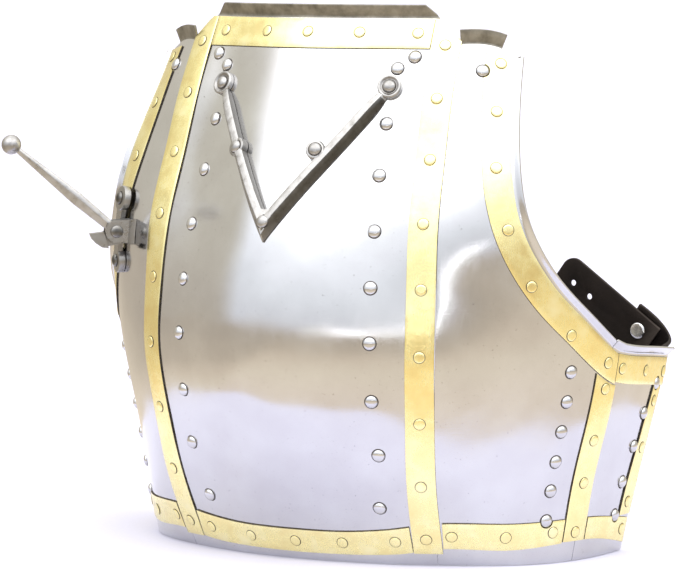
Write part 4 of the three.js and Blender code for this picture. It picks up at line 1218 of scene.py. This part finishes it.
def forge_finish(name, hollow, middle, high, ridge_colour):
    """Hot-forged bar filed to shape: file strokes and lumps, painted shade darkening the hollows, bright
    where the ridges are rubbed.
    """
    material, tree, shader = finish(name, 1.0)
    plain = place_pattern(tree)
    clouds = cloud(tree, plain, 6, 4, 0.6)
    strokes = cloud(tree, place_pattern(tree, (0.5, 0.5, 5), (0.7, 0.4, 0)), 1.0, 3, 0.6)
    lumps = cloud(tree, plain, 3.5, 2, 0.5)
    colour = ramp(tree, clouds, [(0.25, hollow), (0.5, middle), (0.8, high)])
    ridge = node(tree, "ShaderNodeNewGeometry").outputs["Pointiness"]
    worn = mix_colours(tree, spread(tree, ridge, 0.0, 0.8, 0.505, 0.57), colour, linear(ridge_colour))
    # Painted shade: concave places are darkened towards the hollow colour, as ambient occlusion would darken
    # them.
    deep = mix_colours(tree, spread(tree, ridge, 0.8, 0.0, 0.42, 0.49), worn, linear(hollow))
    relief = bump(tree, lumps, 0.14, below=bump(tree, strokes, 0.03))
    feed(tree, shader, deep, spread(tree, clouds, 0.24, 0.42, 0.3, 0.7), relief)
    return material


def forged_steel(finishes):
    """Forged mild steel filed grey and rubbed: the stop rib and the arm."""
    return forge_finish("filed_forged_steel", "#6f6c68", finishes.forged, "#b5b3b1", "#cfcecd")


def scaled_steel_and_shade(finishes):
    """The same steel left black from the forge, with brown-black painted shade in the hollows: the lance
    bracket and pin, and painted shade on the stop rib's slopes that face the wearer's left.
    """
    return forge_finish("scaled_forged_steel", "#2b2825", finishes.scaled_and_shade, "#55534e", "#a19f9c")


def black_leather(finishes):
    """Harness leather dyed black and waxed: fine pebble grain, a little brown where it is rubbed."""
    material, tree, shader = finish("black_leather")
    plain = place_pattern(tree)
    clouds = cloud(tree, plain, 14, 4, 0.6)
    # Pebbles 1.1 mm across.
    pebbles = node(tree, "ShaderNodeTexVoronoi", {"Vector": plain, "Scale": 1 / 1.1, "Randomness": 1.0},
                   feature="SMOOTH_F1").outputs["Distance"]
    creases = cloud(tree, place_pattern(tree, (5, 5, 1.2), (0, 0.75, 0)), 1.0, 3, 0.6)
    ridge = node(tree, "ShaderNodeNewGeometry").outputs["Pointiness"]
    colour = ramp(tree, clouds, [(0.3, finishes.leather), (0.75, "#150e0b")])
    rubbed = mix_colours(tree, spread(tree, ridge, 0.0, 0.8, 0.51, 0.6), colour, linear("#5f564e"))
    relief = bump(tree, pebbles, 0.12, 0.8, bump(tree, creases, 0.12, 0.6))
    feed(tree, shader, rubbed, spread(tree, clouds, 0.4, 0.62, 0.3, 0.7), relief)
    shader.inputs["Specular IOR Level"].default_value = 0.12
    return material


def polish_residue(finishes):
    """Old polish and tarnish packed into the corners round rivets and strips, with painted shade there as
    well: dull brown-black.
    """
    material, tree, shader = finish("polish_residue")
    grain = cloud(tree, place_pattern(tree), 0.8, 3, 0.6)
    colour = ramp(tree, grain, [(0.3, "#1d1915"), (0.7, finishes.residue_and_shade)])
    tree.links.new(colour, shader.inputs["Base Color"])
    shader.inputs["Roughness"].default_value = 0.7
    return material


def floor_paper(setting):
    """Matt white background paper, its fibres drawn coarse at 2.5 mm so that they show."""
    material, tree, shader = finish("background_paper")
    fibre = cloud(tree, place_pattern(tree), 2.5, 3, 0.6)
    tree.links.new(ramp(tree, fibre, [(0.3, setting.floor), (0.7, "#c9c8d7")]), shader.inputs["Base Color"])
    shader.inputs["Roughness"].default_value = 0.85
    return material


# ---------------------------------------------------------------- studio
AIM = Vector((0.0, 0.05077, 0.177))
VIEW_AZIMUTH = 30.0
VIEW_ELEVATION = 5.106
VIEW_DISTANCE = 2.8049
VIEW_LENS = 223.07
FLOOR_DROP = 0.0003      # the floor lies this far below the waist edge
# Softboxes: name, azimuth, elevation, distance, width, height.
SOFTBOXES = (("key", 55, 45, 2.2, 1.4, 1.0), ("fill", -40, 40, 2.6, 1.6, 1.2), ("top", 0, 85, 2.2, 1.6, 1.6))


def towards(azimuth, elevation):
    """Direction from the object to a point round it; azimuth 0 is the front, 90 the wearer's left."""
    a, e = math.radians(azimuth), math.radians(elevation)
    return Vector((math.sin(a) * math.cos(e), -math.cos(a) * math.cos(e), math.sin(e)))


def aimed(name, data, azimuth, elevation, distance):
    """Camera or lamp that looks at the middle of the object."""
    obj = bpy.data.objects.new(name, data)
    bpy.context.scene.collection.objects.link(obj)
    obj.location = AIM + towards(azimuth, elevation) * distance
    obj.rotation_euler = (AIM - obj.location).to_track_quat("-Z", "Y").to_euler()
    return obj


def camera():
    lens = bpy.data.cameras.new("studio_camera")
    lens.sensor_width, lens.lens, lens.clip_end = 36, VIEW_LENS, 50
    bpy.context.scene.camera = aimed("studio_camera", lens, VIEW_AZIMUTH, VIEW_ELEVATION, VIEW_DISTANCE)


def softbox(name, azimuth, elevation, distance, width, height, power):
    """Soft lamp that lights the object without showing as a shape in the polished plates."""
    light = bpy.data.lights.new(f"{name}_softbox", "AREA")
    light.shape, light.size, light.size_y = "RECTANGLE", width, height
    light.energy = power
    aimed(light.name, light, azimuth, elevation, distance).visible_glossy = False


def card(name, points, faces, colours, strength, where):
    """Reflector out of the picture: it shows in polished metal and nowhere else."""
    mesh = bpy.data.meshes.new(name)
    mesh.from_pydata(points, [], faces)
    material = bpy.data.materials.new(name)
    material.use_nodes = True
    tree = material.node_tree
    tree.nodes.clear()
    glow = node(tree, "ShaderNodeEmission", {"Color": ramp(tree, where(tree), colours), "Strength": strength})
    node(tree, "ShaderNodeOutputMaterial", {"Surface": glow.outputs[0]})
    obj = object_of(name, mesh, material)
    obj.visible_camera = obj.visible_diffuse = obj.visible_shadow = obj.visible_transmission = False


BENCH_CENTRE = (-0.05, 0.22)
BENCH_HOLE = 0.43        # radius of the white sheet on the bench
BENCH_REACH = 28.0
BENCH_HEIGHT = 0.001
# Colours of the bench outwards from the sheet, the last ones also on its dim left side.
BENCH_COLOURS = [(0.0, "#fbecda"), (0.07, "#f7ead4"), (0.15, "#eddec8"), (0.34, "#d5c8b4"), (1.0, "#c9bead")]


def bench_card():
    """Tan bench top round the white sheet that the object stands on."""
    sides = 72
    points, faces = [], []
    for k in range(sides):
        a = 2 * math.pi * k / sides
        for radius in (BENCH_HOLE, BENCH_REACH):
            x, y = radius * math.cos(a), radius * math.sin(a)
            points.append((BENCH_CENTRE[0] + x, BENCH_CENTRE[1] + y, BENCH_HEIGHT))
        j = (k + 1) % sides
        faces.append((2 * k, 2 * k + 1, 2 * j + 1, 2 * j))

    def outwards(tree):
        where = node(tree, "ShaderNodeTexCoord").outputs["Object"]
        offset = node(tree, "ShaderNodeMapping", {
            "Vector": where, "Location": (-BENCH_CENTRE[0], -BENCH_CENTRE[1], 0),
        }).outputs["Vector"]
        length = node(tree, "ShaderNodeVectorMath", {0: offset}, operation="LENGTH").outputs["Value"]
        side = node(tree, "ShaderNodeSeparateXYZ", {"Vector": where}).outputs["X"]
        near = spread(tree, length, 0.0, 1.0, BENCH_HOLE, 3.0)
        return total(tree, near, spread(tree, side, 0.35, 0.0, -0.75, -0.3))

    card("bench_card", points, faces, BENCH_COLOURS, 1.2, outwards)


# Streaks of sky over the bench: first and last azimuth, their elevations, half thickness, in degrees.
STREAKS = [
    (4, 44, -0.7, 3.0, 0.5), (12, 38, 0.4, 3.9, 0.3), (18, 48, 0.5, 4.8, 0.4),
    (27, 50, 2.4, 6.2, 0.22), (33, 52, 1.2, 5.6, 0.16), (10, 24, -1.2, -0.3, 0.2),
]
STREAK_DISTANCE = 2.6
STREAK_STEPS = 24


def streak_card():
    """Thin bright streaks, tapered at both ends and a little wavy."""
    points, faces = [], []
    for k, (start, end, low, high, half) in enumerate(STREAKS):
        first = len(points)
        for u in np.linspace(0, 1, STREAK_STEPS + 1):
            wave = 0.12 * math.sin(17 * u + 2.1 * k) + 0.07 * math.sin(41 * u + k)
            middle = low + (high - low) * u ** 1.3 + wave
            reach = half * math.sin(math.pi * u) ** 0.6 * (0.8 + 0.3 * math.sin(29 * u + 3 * k))
            for e in (middle - reach, middle + reach):
                points.append(AIM + towards(start + (end - start) * u, e) * STREAK_DISTANCE)
        corners = [first + 2 * i for i in range(STREAK_STEPS)]
        faces += [(c, c + 2, c + 3, c + 1) for c in corners]

    def height(tree):
        where = node(tree, "ShaderNodeTexCoord").outputs["Object"]
        return node(tree, "ShaderNodeSeparateXYZ", {"Vector": where}).outputs["Z"]

    card("streak_card", points, faces, [(0, "#ffffff"), (1, "#f4f7ff")], 4.0, height)


# Colours of the room against the sine of the elevation, plus 0.1.
ROOM_FRONT = [
    (0.013, "#857d71"), (0.100, "#8d8985"), (0.152, "#9b9da2"), (0.222, "#9d9fa3"), (0.325, "#a7aaae"),
    (0.442, "#b2b4b9"), (0.554, "#bec1c4"), (0.630, "#e1e1e5"), (0.716, "#ffffff"),
]
ROOM_LEFT = [
    (0.013, "#827c70"), (0.187, "#858077"), (0.523, "#8e8b81"), (0.807, "#b1afab"), (0.966, "#d8d8d8"),
]


def surroundings(brightness):
    """Pale room: bright ceiling and front wall, and a dimmer, warmer wall on the left and behind."""
    world = bpy.data.worlds.new("studio_room")
    bpy.context.scene.world = world
    world.use_nodes = True
    tree = world.node_tree
    direction = node(tree, "ShaderNodeTexCoord").outputs["Generated"]
    height = node(tree, "ShaderNodeSeparateXYZ", {"Vector": direction}).outputs["Z"]
    level = spread(tree, height, 0, 1, -0.1, 0.9)
    dim_wall = {0: direction, 1: (-0.469, 0.883, 0)}
    leftwards = node(tree, "ShaderNodeVectorMath", dim_wall, operation="DOT_PRODUCT").outputs["Value"]
    side = spread(tree, leftwards, 0, 1, -0.14, 0.13)
    background = tree.nodes["Background"]
    colour = mix_colours(tree, side, ramp(tree, level, ROOM_FRONT), ramp(tree, level, ROOM_LEFT))
    tree.links.new(colour, background.inputs["Color"])
    background.inputs["Strength"].default_value = brightness


def studio(setting):
    half = setting.floor_size / 2
    corners = [(-half, -half, -FLOOR_DROP), (half, -half, -FLOOR_DROP), (half, half, -FLOOR_DROP)]
    mesh = bpy.data.meshes.new("studio_floor")
    mesh.from_pydata([*corners, (-half, half, -FLOOR_DROP)], [], [(0, 1, 2, 3)])
    object_of("studio_floor", mesh, floor_paper(setting))
    bench_card()
    streak_card()
    surroundings(setting.room_brightness)
    for box in SOFTBOXES:
        softbox(*box, getattr(setting, f"{box[0]}_power"))
    camera()
    bpy.context.scene.view_settings.view_transform = "Standard"


# ---------------------------------------------------------------- settings
LENGTH = {"unit": "LENGTH", "min": 0.0001, "precision": 5}
COLOUR = {"subtype": "COLOR", "size": 3, "min": 0.0, "max": 1.0}
SHARE = {"subtype": "FACTOR", "min": 0.0, "max": 1.0}
POWER = {"unit": "POWER", "min": 0.0}


def rgb(code):
    """Three scene-linear values from an sRGB hex string."""
    return linear(code)[:3]


class BREASTPLATE_PG_sizes(bpy.types.PropertyGroup):
    """Thicknesses and small sizes."""
    sheet: bpy.props.FloatProperty(
        name="Plates", description="Thickness of the steel sheet", default=1.6 * MM, **LENGTH)
    brass: bpy.props.FloatProperty(
        name="Strips", description="Thickness of the brass strips", default=1.0 * MM, **LENGTH)
    leather: bpy.props.FloatProperty(
        name="Leather", description="Thickness of the strap and tabs", default=2.5 * MM, **LENGTH)
    steel_rivet: bpy.props.FloatProperty(
        name="Steel rivets", description="Width of the domed heads", default=8.4 * MM, **LENGTH)
    steel_rivet_height: bpy.props.FloatProperty(
        name="Steel rivets' height", description="Height of the domed heads", default=2.7 * MM, **LENGTH)
    brass_rivet: bpy.props.FloatProperty(
        name="Brass rivets", description="Width of the flat heads", default=7.2 * MM, **LENGTH)
    brass_rivet_height: bpy.props.FloatProperty(
        name="Brass rivets' height", description="Height of the flat heads", default=0.8 * MM, **LENGTH)
    strap_width: bpy.props.FloatProperty(
        name="Strap width", description="Width of the strap and tabs", default=31 * MM, **LENGTH)
    strap_length: bpy.props.FloatProperty(
        name="Strap length", description="From the rivet to the strap's tip", default=71 * MM, **LENGTH)
    ball: bpy.props.FloatProperty(
        name="Ball", description="Width of the ball on the lance rest's arm", default=13.2 * MM, **LENGTH)


class BREASTPLATE_PG_finishes(bpy.types.PropertyGroup):
    """Colours and surface finishes."""
    steel_low: bpy.props.FloatVectorProperty(
        name="Steel, worn", description="Colour of the steel where it is rubbed",
        default=rgb("#c6c5c6"), **COLOUR)
    steel_high: bpy.props.FloatVectorProperty(
        name="Steel, bright", description="Colour of the brightest steel",
        default=rgb("#d0d0d1"), **COLOUR)
    # Colour of the painted reflection on the turned neck edges.
    painted_neck_reflection: bpy.props.FloatVectorProperty(
        name="Neck edge", description="Colour of the darkened neck edge", default=rgb("#918d83"), **COLOUR)
    forged: bpy.props.FloatVectorProperty(
        name="Forged parts", description="Colour of the stop rib and the arm",
        default=rgb("#9a9896"), **COLOUR)
    # Colour of the lance bracket and pin, and of the painted shade on the stop rib's left-facing slopes.
    scaled_and_shade: bpy.props.FloatVectorProperty(
        name="Forge scale", description="Colour of the unfiled slopes and the bracket",
        default=rgb("#3e3d3a"), **COLOUR)
    brass: bpy.props.FloatVectorProperty(
        name="Brass", description="Middle colour of the brass", default=rgb("#f4e8aa"), **COLOUR)
    brass_low: bpy.props.FloatVectorProperty(
        name="Brass, tarnished", description="Colour of the brass in its dips",
        default=rgb("#f0de9e"), **COLOUR)
    brass_high: bpy.props.FloatVectorProperty(
        name="Brass, bright", description="Colour of freshly rubbed brass",
        default=rgb("#f8f0bf"), **COLOUR)
    leather: bpy.props.FloatVectorProperty(
        name="Leather", description="Colour of the leather", default=rgb("#070505"), **COLOUR)
    # Lighter colour of the old polish and painted shade round rivets and along the strips' edges.
    residue_and_shade: bpy.props.FloatVectorProperty(
        name="Residue", description="Lighter colour of the old polish", default=rgb("#4d443a"), **COLOUR)
    steel_roughness: bpy.props.FloatProperty(
        name="Steel roughness", description="Roughness of the buffed plates", default=0.12, **SHARE)
    brass_roughness: bpy.props.FloatProperty(
        name="Brass roughness", description="Roughness of the buffed strips", default=0.24, **SHARE)


class BREASTPLATE_PG_studio(bpy.types.PropertyGroup):
    """Floor and lights."""
    floor: bpy.props.FloatVectorProperty(
        name="Floor", description="Colour of the floor", default=rgb("#c5c4d4"), **COLOUR)
    floor_size: bpy.props.FloatProperty(
        name="Floor size", description="Side of the square floor", default=60.0, min=1, unit="LENGTH")
    room_brightness: bpy.props.FloatProperty(
        name="Room brightness", description="Strength of the light from the room", default=3.2, min=0)
    key_power: bpy.props.FloatProperty(
        name="Key light", description="Power of the softbox on the right", default=12, **POWER)
    fill_power: bpy.props.FloatProperty(
        name="Fill light", description="Power of the softbox on the left", default=5, **POWER)
    top_power: bpy.props.FloatProperty(
        name="Top light", description="Power of the softbox overhead", default=6, **POWER)


def size(name):
    """A size from the settings, in millimetres."""
    return getattr(bpy.context.scene.breastplate_sizes, name) / MM


def material_of(name, make):
    """The named material, made on first use."""
    return bpy.data.materials.get(name) or make(bpy.context.scene.breastplate_finishes)


def steel():
    return material_of("polished_steel", polished_steel)


def brass():
    return material_of("polished_brass", polished_brass)


def forged():
    return material_of("filed_forged_steel", forged_steel)


def scale_and_shade():
    return material_of("scaled_forged_steel", scaled_steel_and_shade)


def leather():
    return material_of("black_leather", black_leather)


# Material of the dark rings and strip walls: old polish and painted shade.
def residue_and_shade():
    return material_of("polish_residue", polish_residue)


# ---------------------------------------------------------------- operators
class BREASTPLATE_OT_plates(bpy.types.Operator):
    """Builds the centre, side and rear plates with their turned edges and steel rivets"""
    bl_idname = "breastplate.plates"
    bl_label = "Plates"

    def execute(self, context):
        metals = (steel(), material_of("darkened_steel", painted_neck_reflection), residue_and_shade())
        finish_piece(centre_plate(metals), "centre_plate")
        finish_pair(side_plate(metals), "side_plate")
        finish_pair(rear_plate(metals), "rear_plate")
        return {"FINISHED"}


class BREASTPLATE_OT_upright_strips(bpy.types.Operator):
    """Builds the brass strips that cover the upright joints and the rear edge"""
    bl_idname = "breastplate.upright_strips"
    bl_label = "Upright strips"

    def execute(self, context):
        for make, base in ((front_strip, "front_strip"), (seam_strip, "seam_strip"),
                           (rear_edge_strip, "rear_edge_strip")):
            finish_pair(make(brass()), base)
        return {"FINISHED"}


class BREASTPLATE_OT_edge_strips(bpy.types.Operator):
    """Builds the brass strips along the neck, the armholes and the rear top edge"""
    bl_idname = "breastplate.edge_strips"
    bl_label = "Edge strips"

    def execute(self, context):
        finish_piece(neck_strip(brass()), "neck_strip")
        finish_pair(armhole_strip(brass()), "armhole_strip")
        finish_pair(rear_top_strip(brass()), "rear_top_strip")
        return {"FINISHED"}


class BREASTPLATE_OT_waist_strips(bpy.types.Operator):
    """Builds the brass strips round the waist"""
    bl_idname = "breastplate.waist_strips"
    bl_label = "Waist strips"

    def execute(self, context):
        inner, outer = crossing(front_line, 18.0)
        start, end = crossing(seam_line, 20.0)
        middle = waist_strip("waist_strip_centre_brass", 1 - inner, inner - 1, 50, brass())
        finish_piece(middle, "waist_strip_centre")
        side = waist_strip("waist_strip_side_brass_left", outer + 1, start - 1, 30, brass(), SIDE_RIVETS)
        finish_pair(side, "waist_strip_side")
        rear = waist_strip("waist_strip_rear_brass_left", end + 1, 319, 20, brass(), REAR_RIVETS)
        finish_pair(rear, "waist_strip_rear")
        return {"FINISHED"}


class BREASTPLATE_OT_stop_rib(bpy.types.Operator):
    """Builds the forged stop rib below the neck"""
    bl_idname = "breastplate.stop_rib"
    bl_label = "Stop rib"

    def execute(self, context):
        finish_piece(stop_rib(forged()), "stop_rib")
        return {"FINISHED"}


class BREASTPLATE_OT_lance_rest(bpy.types.Operator):
    """Builds the lance rest: its bracket, pin and folding arm"""
    bl_idname = "breastplate.lance_rest"
    bl_label = "Lance rest"

    def execute(self, context):
        finish_piece(lance_bracket(scale_and_shade()), "lance_bracket")
        finish_piece(lance_pin(scale_and_shade()), "lance_pin")
        finish_piece(lance_arm(forged()), "lance_arm", "lance_arm")
        return {"FINISHED"}


class BREASTPLATE_OT_straps(bpy.types.Operator):
    """Builds the leather tabs and back strap with the rivet and the buckle"""
    bl_idname = "breastplate.straps"
    bl_label = "Straps"

    def execute(self, context):
        finish_pair(strap_tab(leather()), "strap_tab")
        finish_piece(back_strap(leather()), "back_strap_left")
        finish_piece(strap_rivet(steel()), "strap_rivet_left")
        finish_piece(buckle(steel()), "buckle_right")
        return {"FINISHED"}


class BREASTPLATE_OT_studio(bpy.types.Operator):
    """Lays the floor and sets the lights, the room and the camera"""
    bl_idname = "breastplate.studio"
    bl_label = "Studio"

    def execute(self, context):
        studio(context.scene.breastplate_studio)
        return {"FINISHED"}


OPERATORS = (
    BREASTPLATE_OT_plates,
    BREASTPLATE_OT_upright_strips,
    BREASTPLATE_OT_edge_strips,
    BREASTPLATE_OT_waist_strips,
    BREASTPLATE_OT_stop_rib,
    BREASTPLATE_OT_lance_rest,
    BREASTPLATE_OT_straps,
    BREASTPLATE_OT_studio,
)


class BREASTPLATE_PT_panel(bpy.types.Panel):
    """Lists the pieces of the breastplate and its settings"""
    bl_idname = "BREASTPLATE_PT_panel"
    bl_label = "Plate breastplate"
    bl_space_type = "VIEW_3D"
    bl_region_type = "UI"
    bl_category = "Breastplate"

    def draw(self, context):
        column = self.layout.column()
        for operator in OPERATORS:
            column.operator(operator.bl_idname)
        for key in GROUPS:
            group = getattr(context.scene, key)
            for name in group.__annotations__:
                column.prop(group, name)


# Settings on the scene, by name.
GROUPS = {
    "breastplate_sizes": BREASTPLATE_PG_sizes,
    "breastplate_finishes": BREASTPLATE_PG_finishes,
    "breastplate_studio": BREASTPLATE_PG_studio,
}
CLASSES = (*GROUPS.values(), *OPERATORS, BREASTPLATE_PT_panel)


def register():
    for item in CLASSES:
        bpy.utils.register_class(item)
    for key, group in GROUPS.items():
        setattr(bpy.types.Scene, key, bpy.props.PointerProperty(type=group))


def unregister():
    for key in GROUPS:
        delattr(bpy.types.Scene, key)
    for item in reversed(CLASSES):
        bpy.utils.unregister_class(item)


def main():
    register()
    for operator in OPERATORS:
        group, name = operator.bl_idname.split(".")
        getattr(getattr(bpy.ops, group), name)()


if __name__ == "__main__":
    main()
